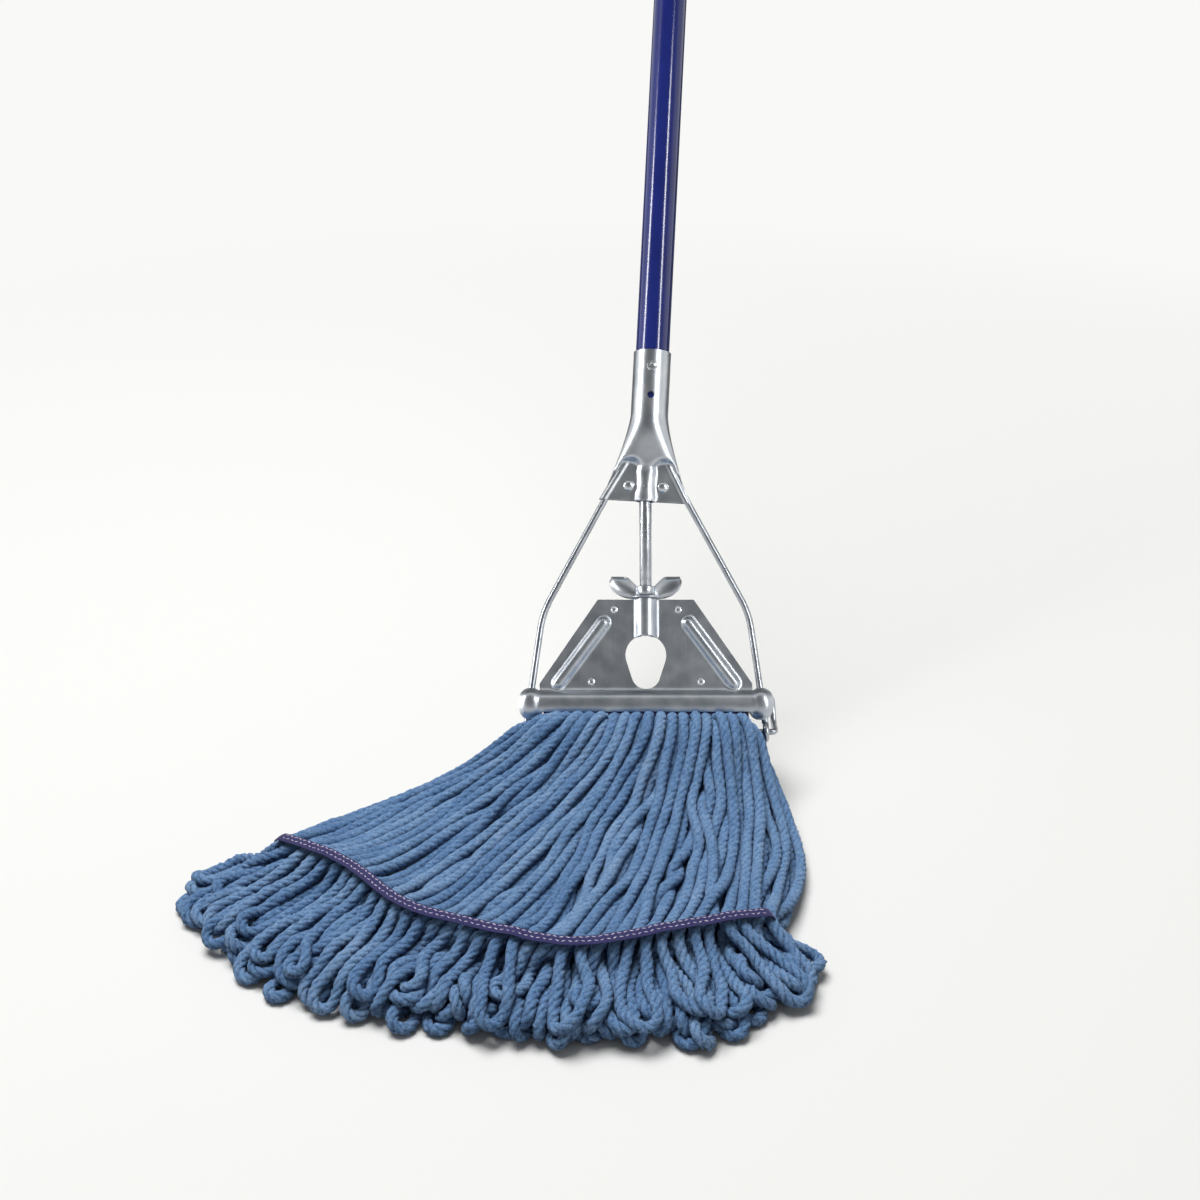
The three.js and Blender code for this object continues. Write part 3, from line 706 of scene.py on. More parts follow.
    def lamp(self, name, place, size, power):
        data = bpy.data.lights.new(name, "AREA")
        data.shape = "RECTANGLE"
        data.size, data.size_y = size
        data.energy = power
        lamp = add_object(name, data)
        lamp.location = place
        lamp.rotation_euler = (LAMP_AIM - Vector(place)).to_track_quat("-Z", "Y").to_euler()
        return lamp

    def lights(self):
        overhead = self.lamp("overhead softbox", (-0.5, 0.1, 3.4), (2.0, 2.0), OVERHEAD_POWER)
        overhead.visible_glossy = False
        # two strips draw the bright streaks on the handle and the metal
        for name, place in (("left strip", (-1.9, -0.4, 0.8)), ("right strip", (1.7, -1.5, 1.6))):
            self.lamp(name, place, (0.24, 1.8), STRIP_POWER).visible_diffuse = False

    def camera(self, scene):
        data = bpy.data.cameras.new("camera")
        data.sensor_width = 36
        data.lens = 54
        camera = add_object("camera", data)
        camera.location = bar_middle + Vector((-0.0324, -1.0831, 0.6653))
        camera.rotation_euler = (math.pi / 2 - LOOK_DOWN, 0, 0)
        scene.camera = camera


# ---- the yarn ----
# Where the tail band and the loop ends lie, over the floor from the point under the bar.
TAIL_LINE = (
    (-242, -112), (-196, -146), (-153, -191), (-100, -214), (-50, -228), (0, -217), (72, -192),
)
TIP_LINE = (
    (-297, -158), (-266, -208), (-200, -246), (-115, -272), (-35, -281), (34, -280), (75, -243),
)
HEAP_AT_BAR = 60.0
HEAP_AT_BAND = 43.0
LAYER_AT_BAR = 9.0  # from one layer to the next
LAYER_AT_BAND = 7.8
SWELL_ABOVE_BAND = 5
SIDE_BULGE = 6.0
BACK_BULGE = 17.0
PARTING = 8  # half the gap of the yarn's one parting
PARTING_AT = 0.78  # from -1 at the left edge to 1 at the right
BEHIND = 2  # this many of the lowest layers hang behind the gate wire
PROUD_SHARE = 0.4  # of the top layer's loops, those that lie open over their neighbours

# How the yarn behaves while it settles, in millimetres and steps.
KEPT_SPEED = 0.93
TOP_SPEED = 1.2
FALL = 0.035
TIGHTEST_BEND = 8.0
STRAIGHTEN = 0.06
CROWDED = 0.6
FLOOR_GRIP = 0.6
BAND_GRIP = 0.5
TOP_BAND_GRIP = 0.3
GATE_HALF_LENGTH = 92
STEPS_TO_SETTLE = 700

TUFT = 0.00024  # how far a tuft of loose fibre stands out, in metres


def in_head(x, y, z):
    """A point of the head's frame, in millimetres over the floor."""
    return np.array(HEAD_TO_FLOOR @ Vector((x, y, z)))


class YarnBed:
    """Loops of yarn laid out roughly, then settled as limp cords with a length and a thickness."""

    def __init__(self, settings):
        self.rng = np.random.default_rng(settings.seed)
        self.radius = settings.yarn_diameter / MM / 2 - 0.15
        self.tail = even(curve_through(TAIL_LINE), LEGS)
        self.tip = even(curve_through(TIP_LINE), LEGS)
        self.layers = settings.layers

    def waves(self, size):
        """A smooth random swing over (across, along)."""
        count = 7
        along = self.rng.uniform(0.4, 2.0, count)
        across = self.rng.uniform(0.3, 1.6, count) * self.rng.choice([-1, 1], count)
        phase = self.rng.uniform(0, math.tau, count)
        scale = size / math.sqrt(count / 2)
        return lambda s, t: scale * float(
            np.sin(math.tau * (along * t + across * s) + phase).sum()
        )

    def band_place(self, number, layer):
        """Where a leg passes its tail band; the bands of lower layers lie nearer the bar."""
        return self.tail[number] + np.array([0, 5.0 * (self.layers - 1 - layer)])

    def leg_root(self, s, deep, layer):
        """The first points of a leg, from the headband past the bar, and the y it goes on from."""
        under = self.layers - 1 - layer
        x = s * HALF_WIDTH
        if layer < BEHIND:
            side = 5.4 - 2.0 * layer - 3 * deep
            root = [in_head(x, side, -4.4 - 3 * deep - drop) for drop in (0, STEP, 2 * STEP)]
            return root + [in_head(x, -1, 3 * deep - 27 + 5 * layer)], -8
        side = -6.2 + 2.4 * under + 3.2 * deep
        start = in_head(x, side, -4.4 - 3 * deep)
        if under:
            return [start, in_head(x, side, -9.4 - 3 * deep)], -19
        # the top layer swells out in front of the bar's lower edge
        swollen = in_head(s * (HALF_WIDTH + 3), side - 4.8 + 1.2 * deep, -1.6 - 7 * deep)
        return [start, swollen], -19

    def leg(self, number, layer, sway, heave):
        """One leg from the headband to the tail band."""
        s = -1 + 2 * (number + 0.5) / LEGS
        deep = number % 2
        under = self.layers - 1 - layer
        path, from_y = self.leg_root(s, deep, layer)
        own = self.waves(3.4 if under == 0 else 5.0)
        end = self.band_place(number, layer)
        for t in np.linspace(0.1 if layer >= BEHIND else 0.16, 1, 24):
            calm = math.sin(math.pi * t) ** 0.7
            bulge = SIDE_BULGE * max(0, s) ** 2 * math.sin(math.pi * t)
            x = mix(s * HALF_WIDTH, end[0], t**1.1) + bulge
            if under < 2:
                # the yarn parts in one place right of the middle
                near = math.exp(-((t - 0.42) / 0.2) ** 2)
                parting = PARTING * near * math.exp(-((s - PARTING_AT) / 0.14) ** 2)
                x += math.copysign(parting, s - PARTING_AT)
            bulge = BACK_BULGE * max(0, -s) ** 2 * math.sin(math.pi * t**1.3)
            y = mix(from_y, end[1], t) + bulge
            # the band draws the yarn in, so that it swells just above
            swell = SWELL_ABOVE_BAND * math.exp(-((t - 0.82) / 0.1) ** 2) - 2 * t
            crest = mix(HEAP_AT_BAR, HEAP_AT_BAND, t**0.75) - 8 * t * abs(s) ** 5 + swell
            lower = mix(LAYER_AT_BAR, LAYER_AT_BAND, t) * under
            z = crest - self.radius - 6 * deep * (1 - t) - lower
            if under == 0:
                z += calm * abs(heave(s, t))
            x += calm * (sway(s, t) + own(s * 8, t * 1.9))
            path.append(np.array([x, y, max(z, self.radius)]))
        return np.array(path)

    def loop_end(self, number, layer, a, b):
        """The free end of a loop, from leg end a round to leg end b."""
        rng = self.rng
        middle = (a + b) / 2
        tip = (self.tip[number] + self.tip[number + 1]) / 2
        out = tip - middle[:2]
        reach = np.linalg.norm(out) * rng.uniform(0.88, 1.1)
        swing = math.atan2(out[1], out[0]) + rng.normal(0, 0.13)
        out = np.array([math.cos(swing), math.sin(swing), 0])
        side = np.array([-out[1], out[0], 0])
        if (b - a) @ side < 0:
            side = -side
        up = np.array([0, 0, 1])
        top = layer == self.layers - 1
        proud = top and rng.random() < PROUD_SHARE
        bend = rng.uniform(11, 14) if proud else rng.uniform(6.0, 9.5)
        tilt = rng.uniform(-0.5, 0.5)
        twist = rng.choice([-1, 1]) * rng.uniform(0, 1.3)
        lift = rng.uniform(15, 21) if proud else rng.uniform(2, 8) if top else rng.uniform(0, 6)
        rest_height = self.radius + 2.5 * layer
        neck = np.linalg.norm((b - a)[:2]) / 2
        straight = reach - bend
        path = []
        for place in np.linspace(0.06, 0.94, 36) * (2 * straight + math.pi * bend):
            if place < straight:
                along, across = place, -1.0
            elif place < straight + math.pi * bend:
                angle = (place - straight) / bend
                along, across = straight + bend * math.sin(angle), -math.cos(angle)
            else:
                along, across = 2 * straight + math.pi * bend - place, 1.0
            part = min(1, along / straight)
            half = mix(neck, bend, part**2) * across
            angle = (tilt + twist) * part
            point = middle + out * along + half * (math.cos(angle) * side + math.sin(angle) * up)
            rest = mix(rest_height, middle[2], 1 - part**1.5)
            point[2] = rest + half * math.sin(angle) + lift * math.sin(math.pi * 0.7 * part)
            point[2] = max(point[2], self.radius)
            path.append(point)
        return path

    def lay_out(self):
        """Rough lines of every loop, from the lowest layer up."""
        self.loops = []
        for layer in range(self.layers):
            sway, heave = self.waves(7.0), self.waves(4.5)
            for loop in range(LOOPS):
                first, second = (self.leg(2 * loop + i, layer, sway, heave) for i in (0, 1))
                end = self.loop_end(2 * loop, layer, first[-1], second[-1])
                line = np.vstack([first, end, second[::-1]])
                self.loops.append((line, length_of(first), length_of(second), loop, layer))

    def beads(self):
        """Cuts every line into beads a step apart, and notes which are held or under a band."""
        beads, self.strand, self.number, held, band = [], [], [], [], []
        for k, (line, first, second, loop, layer) in enumerate(self.loops):
            count = round(length_of(line) / STEP) + 1
            start = len(self.strand)
            held += [start, start + 1, start + count - 2, start + count - 1]
            band.append((start + round(first / STEP), 2 * loop, layer))
            band.append((start + count - 1 - round(second / STEP), 2 * loop + 1, layer))
            beads.append(even(line, count))
            self.strand += [k] * count
            self.number += range(count)
        self.strand, self.number = np.array(self.strand), np.array(self.number)
        self.held = np.array(held)
        self.band = np.array([bead for bead, _, _ in band])
        self.band_at = np.array([self.band_place(leg, layer)[:2] for _, leg, layer in band])
        return np.vstack(beads)

    def near_pairs(self, beads, reach):
        """Pairs of beads nearer than reach, not close along one yarn."""
        cell = np.floor(beads / reach).astype(np.int64)
        cell -= cell.min(0) - 1
        size = cell.max(0) + 2
        key = (cell[:, 0] * size[1] + cell[:, 1]) * size[2] + cell[:, 2]
        order = np.argsort(key, kind="stable")
        in_order = key[order]
        found = []
        for dx in (-1, 0, 1):
            for dy in (-1, 0, 1):
                column = key + (dx * size[1] + dy) * size[2]
                low = np.searchsorted(in_order, column - 1, "left")
                count = np.searchsorted(in_order, column + 1, "right") - low
                i = np.repeat(np.arange(len(beads)), count)
                j = order[np.repeat(low - np.cumsum(count) + count, count) + np.arange(len(i))]
                found.append(np.stack([i[i < j], j[i < j]]))
        i, j = np.concatenate(found, axis=1)
        apart = (self.strand[i] != self.strand[j]) | (np.abs(self.number[i] - self.number[j]) > 2)
        close = ((beads[i] - beads[j]) ** 2).sum(1) < reach * reach
        return i[apart & close], j[apart & close]

    def settle(self, steps):
        """Lets the beads fall and push each other apart until the heap lies still."""
        now = self.beads()
        held_at = now[self.held].copy()
        gate = in_head(0, 0, GATE_Z)[1:]
        edge = np.flatnonzero(self.strand[:-1] == self.strand[1:])
        pairs = [edge[self.number[edge] % 2 == i] for i in (0, 1)]
        inner = np.flatnonzero(self.strand[:-2] == self.strand[2:]) + 1
        span = np.flatnonzero(self.strand[:-4] == self.strand[4:])
        chord = 2 * TIGHTEST_BEND * math.sin(2 * STEP / TIGHTEST_BEND)
        apart = 2 * self.radius
        before = now.copy()
        total = len(now)
        # the stitched tail band is stiff enough to hold the top layer's legs in line
        top_band = self.band[-LEGS:]
        top_height = now[top_band, 2].copy()
        for step in range(steps):
            move = KEPT_SPEED * (now - before)
            speed = np.linalg.norm(move, axis=1, keepdims=True)
            before = now.copy()
            now = now + move * np.minimum(1, TOP_SPEED / np.maximum(speed, 1e-9))
            now[:, 2] -= FALL
            if step % 5 == 0:
                i, j = self.near_pairs(now, apart + 2)
            for _ in range(3):
                for e in pairs:
                    self.hold_length(now, e, 1, STEP, 0.5, False)
                self.hold_length(now, span, 4, chord, 0.25, True)
                between = 0.5 * (now[inner - 1] + now[inner + 1])
                now[inner] += STRAIGHTEN * (between - now[inner])
                gap = now[j] - now[i]
                distance = np.sqrt((gap * gap).sum(1))
                hit = distance < apart
                a, b = i[hit], j[hit]
                push = 0.5 * (apart / distance[hit] - 1)[:, None] * gap[hit]
                touches = np.bincount(a, minlength=total) + np.bincount(b, minlength=total)
                touches = np.maximum(1, CROWDED * touches)
                for k in range(3):
                    shift = np.bincount(b, push[:, k], total) - np.bincount(a, push[:, k], total)
                    now[:, k] += shift / touches
                self.clear_gate(now, gate)
                low = now[:, 2] < self.radius
                now[low, 2] = self.radius
                now[low, :2] += FLOOR_GRIP * (before[low, :2] - now[low, :2])
                now[self.band, :2] += BAND_GRIP * (self.band_at - now[self.band, :2])
                now[top_band, 2] += TOP_BAND_GRIP * (top_height - now[top_band, 2])
                now[self.held] = held_at
        self.now = now

    def hold_length(self, now, first, gap, length, share, only_short):
        """Moves pairs of beads of one yarn a share of the way to a length apart."""
        d = now[first + gap] - now[first]
        change = 1 - length / np.linalg.norm(d, axis=1, keepdims=True)
        if only_short:
            change = np.minimum(0, change)
        now[first] += share * change * d
        now[first + gap] -= share * change * d

    def clear_gate(self, now, gate):
        """Keeps the yarn off the gate wire."""
        away = now[:, 1:] - gate
        distance = np.linalg.norm(away, axis=1)
        reach = GATE_RADIUS + self.radius
        inside = (distance < reach) & (np.abs(now[:, 0]) < GATE_HALF_LENGTH)
        push = reach / np.maximum(distance[inside], 1e-6) - 1
        now[inside, 1:] += push[:, None] * away[inside]

    def line(self, k, pitch):
        """A settled loop as a smooth line with a point every pitch."""
        points = self.now[self.strand == k].copy()
        for _ in range(3):
            points[1:-1] = 0.25 * points[:-2] + 0.5 * points[1:-1] + 0.25 * points[2:]
        smooth = curve_through(points, 4)
        return even(smooth, round(length_of(smooth) / pitch))

    def band_line(self, layer):
        """Where one layer's legs pass under its tail band, left to right."""
        return self.now[self.band[layer * LEGS:(layer + 1) * LEGS]]


class MOP_OT_yarn(bpy.types.Operator):
    """Make the yarn loops of the mop"""

    bl_idname = "mop.yarn"
    bl_label = "Yarn"

    def execute(self, context):
        settings = context.scene.mop
        bed = YarnBed(settings)
        bed.lay_out()
        bed.settle(STEPS_TO_SETTLE)
        MOP_OT_yarn.bed = bed
        profile = self.ply_section(settings)
        cotton = yarn_cotton()
        rng = np.random.default_rng(settings.seed + 1)
        spare = []
        from_the_top = sorted(range(len(bed.loops)), key=lambda k: -bed.loops[k][4])
        for rank, k in enumerate(from_the_top):
            _, first, second, _, layer = bed.loops[k]
            pitch = 2.0 if layer > bed.layers - 3 else 3.2
            line = bed.line(k, pitch) * MM + np.array(FLOOR.translation)
            mesh = self.plied(line, settings, profile, rng, first * MM, second * MM)
            if rank >= DECLARED_LOOPS:
                spare.append(mesh)
                continue
            piece = show_mesh(f"yarn_loop_{rank + 1:02d}", mesh, ROOT, cotton)
            if rank == 0:
                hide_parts("yarn_upper", "fringe_upper")
        self.join_spare(spare, cotton)
        bpy.data.objects.remove(profile)
        return {"FINISHED"}

    def join_spare(self, meshes, cotton):
        """The lowest loops, a dozen to a piece."""
        for group in range(0, len(meshes), LOOPS_TO_A_PIECE):
            bm = bmesh.new()
            for mesh in meshes[group:group + LOOPS_TO_A_PIECE]:
                take_in(bm, mesh)
            name = f"under_yarn_{group // LOOPS_TO_A_PIECE + 1}"
            piece = show_mesh(name, mesh_from("under_yarn", bm), ROOT, cotton)
            if group == 0:
                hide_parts("yarn_lower", "fringe_lower")

    def ply_section(self, settings):
        """The four-lobed outline of the yarn's plies."""
        curve = bpy.data.curves.new("plies", "CURVE")
        curve.dimensions = "2D"
        spline = curve.splines.new("POLY")
        spline.points.add(SECTION_SIDES - 1)
        spline.use_cyclic_u = True
        for i in range(SECTION_SIDES):
            angle = math.tau * i / SECTION_SIDES
            groove = 0.2 * (1 - abs(math.cos(2 * angle))) ** 1.2
            radius = settings.yarn_diameter / 2 * (1.02 - groove)
            spline.points[i].co = (radius * math.cos(angle), radius * math.sin(angle), 0, 1)
        return add_object("plies", curve)

    def plied(self, line, settings, profile, rng, first, second):
        """One yarn: plies twisted along it, thick and thin, worn smoother above the tail band."""
        along = np.linspace(0, length_of(line), len(line))

        def wave(size, per_radian):
            return size * np.sin(along / per_radian + rng.uniform(0, 6))

        twist = math.tau * along / settings.twist_pitch + rng.uniform(0, math.tau)
        twist = twist + 0.9 * (wave(0.5, 0.045) + wave(0.5, 0.021))
        swell = 1 + wave(0.05, 0.012) + wave(0.035, 0.005)
        mesh = swept_mesh("yarn", line, 0, lobes=profile, twist=twist, swell=swell)
        past_band = np.minimum(along - first, along[-1] - second - along)
        crisp = 0.58 + 0.27 * np.clip(past_band / 0.02 + 0.5, 0, 1)
        self.mark_plies(mesh, line, crisp, rng)
        return mesh

    def mark_plies(self, mesh, line, crisp, rng):
        """Roughens the plies, and notes the yarn's own tone and painted shade: darker where a
        vertex lies deep between the plies, and on the side turned down.
        """
        co = np.zeros(len(mesh.vertices) * 3)
        mesh.vertices.foreach_get("co", co)
        co = co.reshape(-1, 3)
        rings = len(line)
        ends = len(co) - rings * SECTION_SIDES
        if ends != 2 * SECTION_SIDES:
            wanted = (rings + 2) * SECTION_SIDES
            raise RuntimeError(f"a yarn has {len(co)} vertices, not {wanted}")
        body = co[ends:].reshape(rings, SECTION_SIDES, 3)
        out = body - line[:, None, :]
        distance = np.linalg.norm(out, axis=2, keepdims=True)
        middle = distance.mean(axis=1, keepdims=True)
        depth = (distance - middle) * crisp[:, None, None]
        tufts = rng.normal(0, TUFT, distance.shape)
        tufts[[0, -1]] = 0
        rough = middle + depth + tufts
        co[ends:] = (line[:, None, :] + out / distance * rough).reshape(-1, 3)
        mesh.vertices.foreach_set("co", co.ravel())
        # painted shade in the grooves, darker the deeper a vertex lies between the plies
        low = np.clip(0.1 - 5.5 * (depth / middle)[:, :, 0], 0, 1) ** 1.2
        # painted shade: the side turned down is darkened, more so past the tail band, standing in
        # for the shade under and between the yarns
        down = np.clip(0.35 - (out / distance)[:, :, 2], 0, 1)
        low = np.clip(low + (0.3 + 1.3 * crisp[:, None]) * down, 0, 1).ravel()
        groove = np.concatenate([np.zeros(ends), low])
        for name, values in (("groove", groove), ("tone", np.full(len(co), rng.uniform(0, 1)))):
            attribute = mesh.attributes.new(name, "FLOAT", "POINT")
            attribute.data.foreach_set("value", values.astype(np.float32))


# ---- the bands ----
TAPE_STEP = 0.8
TAPE_GRIDS = 6
TAPE_CROWN = 0.5
TAPE_WALL = 0.5
UNDER_TAPE_HEIGHT = 0.35
STITCH_SHARES = (-0.3, 0.16)  # where the rows run, as shares of the tape's width from its middle
STITCH_HEIGHT = 0.75
STITCH_LINK = 3.9
THREAD_THICKNESS = 0.44
HEADBAND_HALF = 5.6
HEADBAND_EDGE = -11.0
HEADBAND_SLICES = 36
HEADBAND_WALL = 0.8


class MOP_OT_bands(bpy.types.Operator):
    """Make the headband, the two tail bands and their stitching"""

    bl_idname = "mop.bands"
    bl_label = "Bands"

    def execute(self, context):
        tape = woven_tape()
        thread = stitch_thread()
        bed = MOP_OT_yarn.bed
        upper, upper_length, rows = self.tail_band(bed, bed.layers - 1, 1, "tail_band", tape)
        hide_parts("tail_band_upper")
        stitches = self.stitch_rows("tail_band_stitches", rows, thread)
        lower, lower_length, _ = self.tail_band(bed, 0, -1, "under_tail_band", tape)
        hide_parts("tail_band_lower")
        self.headband(tape)
        return {"FINISHED"}

    def tail_band(self, bed, layer, side, name, tape):
        """A tape over or under a layer of legs: its piece, its length and its rows of stitches."""
        legs = bed.band_line(layer) + np.array([0, 0, side * (bed.radius + 0.4)])
        # its ends tuck down beside the outer legs
        tuck = np.array([0, 0, 3.0])
        ends = [1.25 * legs[0] - 0.25 * legs[1] - tuck, 1.25 * legs[-1] - 0.25 * legs[-2] - tuck]
        middle = curve_through(np.vstack([ends[0], legs, ends[1]]), 12)
        for _ in range(10):
            middle[1:-1] = 0.25 * middle[:-2] + 0.5 * middle[1:-1] + 0.25 * middle[2:]
        count = round(length_of(middle) / TAPE_STEP)
        middle = even(middle, count)
        if side < 0:
            middle[:, 2] = UNDER_TAPE_HEIGHT
        ahead = np.gradient(middle[:, :2], axis=0)
        out = np.stack([ahead[:, 1], -ahead[:, 0], np.zeros(count)], axis=1)
        out /= np.linalg.norm(out, axis=1, keepdims=True)
        along = np.concatenate([[0], np.cumsum(np.linalg.norm(np.diff(middle, axis=0), axis=1))])
        bm = bmesh.new()
        bmesh.ops.create_grid(
            bm, x_segments=count - 1, y_segments=TAPE_GRIDS, size=0.5, calc_uvs=True
        )
        uv = bm.loops.layers.uv.verify()
        for face in bm.faces:
            for loop in face.loops:
                place = loop.vert.co
                i = round((place.x + 0.5) * (count - 1))
                loop[uv].uv = (along[i] * MM, (place.y + 0.5) * BAND_WIDTH * MM)
        for vert in bm.verts:
            i = round((vert.co.x + 0.5) * (count - 1))
            point = Vector(middle[i] + out[i] * BAND_WIDTH * vert.co.y)
            if side > 0:
                point.z += TAPE_CROWN * (1 - (2 * vert.co.y) ** 2)
            vert.co = point
        turn_outwards(bm)
        thicken(bm, TAPE_WALL)
        turn_outwards(bm)
        band = make_piece(name, bm, FLOOR, ROOT, tape)
        above = np.array([0, 0, side * STITCH_HEIGHT])
        rows = [(middle + out * BAND_WIDTH * share + above)[8:-8] for share in STITCH_SHARES]
        return band, along[-1] * MM, rows

    def stitch_rows(self, name, rows, thread):
        """Chain stitches: short slanted links in rows along the band."""
        bm = bmesh.new()
        for number, row in enumerate(rows):
            count = round(length_of(row) / STITCH_LINK)
            line = even(row, count * 2 + 1)
            for i in range(count):
                start, end = Vector(line[2 * i]), Vector(line[2 * i + 2])
                run = end - start
                slant = Vector((-run.y, run.x, 0)) * (0.18 if (i + number) % 2 else -0.18)
                self.stitch(bm, start + slant, end - slant)
        return make_piece(name, bm, FLOOR, ROOT, thread)

    def stitch(self, bm, start, end):
        """One link: a short thread, thicker in the middle of its length."""
        run = end - start
        centre = (start + end) / 2
        made = bmesh.ops.create_cone(
            bm, cap_ends=True, segments=6, radius1=THREAD_THICKNESS * 0.55,
            radius2=THREAD_THICKNESS * 0.55, depth=run.length * 0.58,
            matrix=Matrix.Translation(centre) @ run.to_track_quat("Z", "Y").to_matrix().to_4x4(),
        )
        edges = {edge for vert in made["verts"] for edge in vert.link_edges}
        long_edges = [edge for edge in edges if edge.calc_length() > 1.5]
        halved = bmesh.ops.subdivide_edges(bm, edges=long_edges, cuts=1)
        for vert in parts_of(halved["geom_inner"], bmesh.types.BMVert):
            vert.co = centre + (vert.co - centre) * 1.6

    def headband(self, tape):
        """The strip folded over the gate wire, with its edges turned up inside the jaw bar."""
        half = HEADBAND_HALF
        outline = [(-half, HEADBAND_EDGE), (-half, -5.0)]
        fold = np.linspace(0, math.pi, 14)
        outline += [(-half * math.cos(a), half * math.sin(a)) for a in fold]
        outline += [(half, -5.0), (half, HEADBAND_EDGE)]
        bm = bmesh.new()
        verts = [bm.verts.new((-HALF_WIDTH - 1, y, z)) for y, z in outline]
        edges = [bm.edges.new(pair) for pair in zip(verts, verts[1:])]
        step = 2 * (HALF_WIDTH + 1) / HEADBAND_SLICES
        for _ in range(HEADBAND_SLICES):
            made = bmesh.ops.extrude_edge_only(bm, edges=edges)["geom"]
            edges = parts_of(made, bmesh.types.BMEdge)
            bmesh.ops.translate(bm, vec=(step, 0, 0), verts=parts_of(made, bmesh.types.BMVert))
        turn_outwards(bm)
        uv = bm.loops.layers.uv.verify()
        for face in bm.faces:
            for loop in face.loops:
                loop[uv].uv = (loop.vert.co.x * MM, loop.vert.co.z * MM)
        thicken(bm, HEADBAND_WALL)
        turn_outwards(bm)
        band = make_piece("mop_headband", bm, HEAD, ROOT, tape, ["headband"])


# ---- the handle ----
def arc(cx, cz, radius, start, end, steps=6):
    """Points on an arc of a turned outline, its angles in degrees."""
    angles = np.radians(np.linspace(start, end, steps + 1))
    return [(cx + radius * math.cos(a), cz + radius * math.sin(a)) for a in angles]


class MOP_OT_handle(bpy.types.Operator):
    """Make the handle tube and its end cap"""

    bl_idname = "mop.handle"
    bl_label = "Handle"

    def execute(self, context):
        inner = TUBE_RADIUS - TUBE_WALL
        rows = np.linspace(TUBE_FOOT, TUBE_TOP, 13)[1:-1]
        profile = [(inner, TUBE_FOOT), (TUBE_RADIUS, TUBE_FOOT)]
        profile += [(TUBE_RADIUS, z) for z in rows]
        profile += [(TUBE_RADIUS, TUBE_TOP), (inner, TUBE_TOP)]
        profile += [(inner, z) for z in reversed(rows)] + [(inner, TUBE_FOOT)]
        tube = turned(profile, 72)
        make_piece(
            "blue_handle", tube, HANDLE, ROOT, handle_coating(), ["handle_tube"]
        )
        foot = TUBE_TOP + 0.35
        plug = inner - 0.35
        outline = [(0, foot - 28), (plug - 1.5, foot - 28), (plug, foot - 24), (plug, foot)]
        outline += arc(CAP_RADIUS - 0.6, foot + 0.6, 0.6, -90, 0, 3)
        outline += [(CAP_RADIUS, foot + 6)]
        outline += arc(CAP_RADIUS - 12, foot + 23, 12, 0, 82, 12) + [(0, foot + 36)]
        cap = cut(turned(outline, 64), crossways_pin(CAP_HOLE_RADIUS, 0, foot + 17, -20, 20, 40))
        make_piece(
            "end_cap", cap, HANDLE, ROOT, cap_plastic(), ["handle_end_cap"], 35
        )
        return {"FINISHED"}


# ---- the socket ----
def leg_x(z):
    """How far out the middle of a bail leg is at a height."""
    if z > BEND_Z:
        return BEND_X - (z - BEND_Z) * UPPER_SPLAY
    return BEND_X + (BEND_Z - z) * LOWER_SPLAY


def pressed(z):
    """Grows from 0 where the socket is round to 1 where it is pressed flat."""
    return smoothstep(PRESS_TOP, PRESS_FOOT, z)


def socket_half(z):
    """Half width of the socket, which flares to take in the bail legs."""
    flare = min(1, max(0, (212 - z) / 62))
    wide = SOCKET_RADIUS + SOCKET_FLARE * flare**1.35
    return max(wide, leg_x(z) + 3.3) if z < PRESS_FOOT else wide


def socket_depth(x, z):
    """Half depth of the socket's outside: round above, pressed flat round a rod channel below."""
    square = mix(1, PRESS_SQUARE, pressed(z))
    depth = mix(SOCKET_RADIUS, 6.4, pressed(z))
    out = min(1, abs(x) / socket_half(z))
    body = depth * max(0, 1 - out ** (2 / square)) ** (square / 2)
    # two arched recesses, one each side of the channel
    arch = 171.5 + math.sqrt(max(0, 1 - ((abs(x) - 12.2) / 8.4) ** 2)) * 7.5
    sunk = smoothstep(arch + 1.6, arch - 1.2, z)
    depth = mix(body, min(body, 2.5), sunk) if z < arch + 2 else body
    if z < 176:
        channel = 6.2 * smoothstep(7.0, 4.4, abs(x)) * smoothstep(180, 172, z)
        depth = max(depth, channel)
    if z < 186:
        away = abs(x) - leg_x(z)
        wrap = math.sqrt(max(0, 3.4**2 - away * away))
        depth = max(depth, wrap * smoothstep(188, 176, z))
    return depth


def mirrored(outline):
    """The same outline for the other face of a piece that lies front to back."""
    return [(radius, -height) for radius, height in reversed(outline)]


def dome(radius, height, face, steps=6):
    """Outline of a rivet's domed head that sits on a face."""
    angles = np.linspace(0, math.pi / 2, steps + 1)
    return [(radius * math.cos(a), face + height * math.sin(a)) for a in angles]


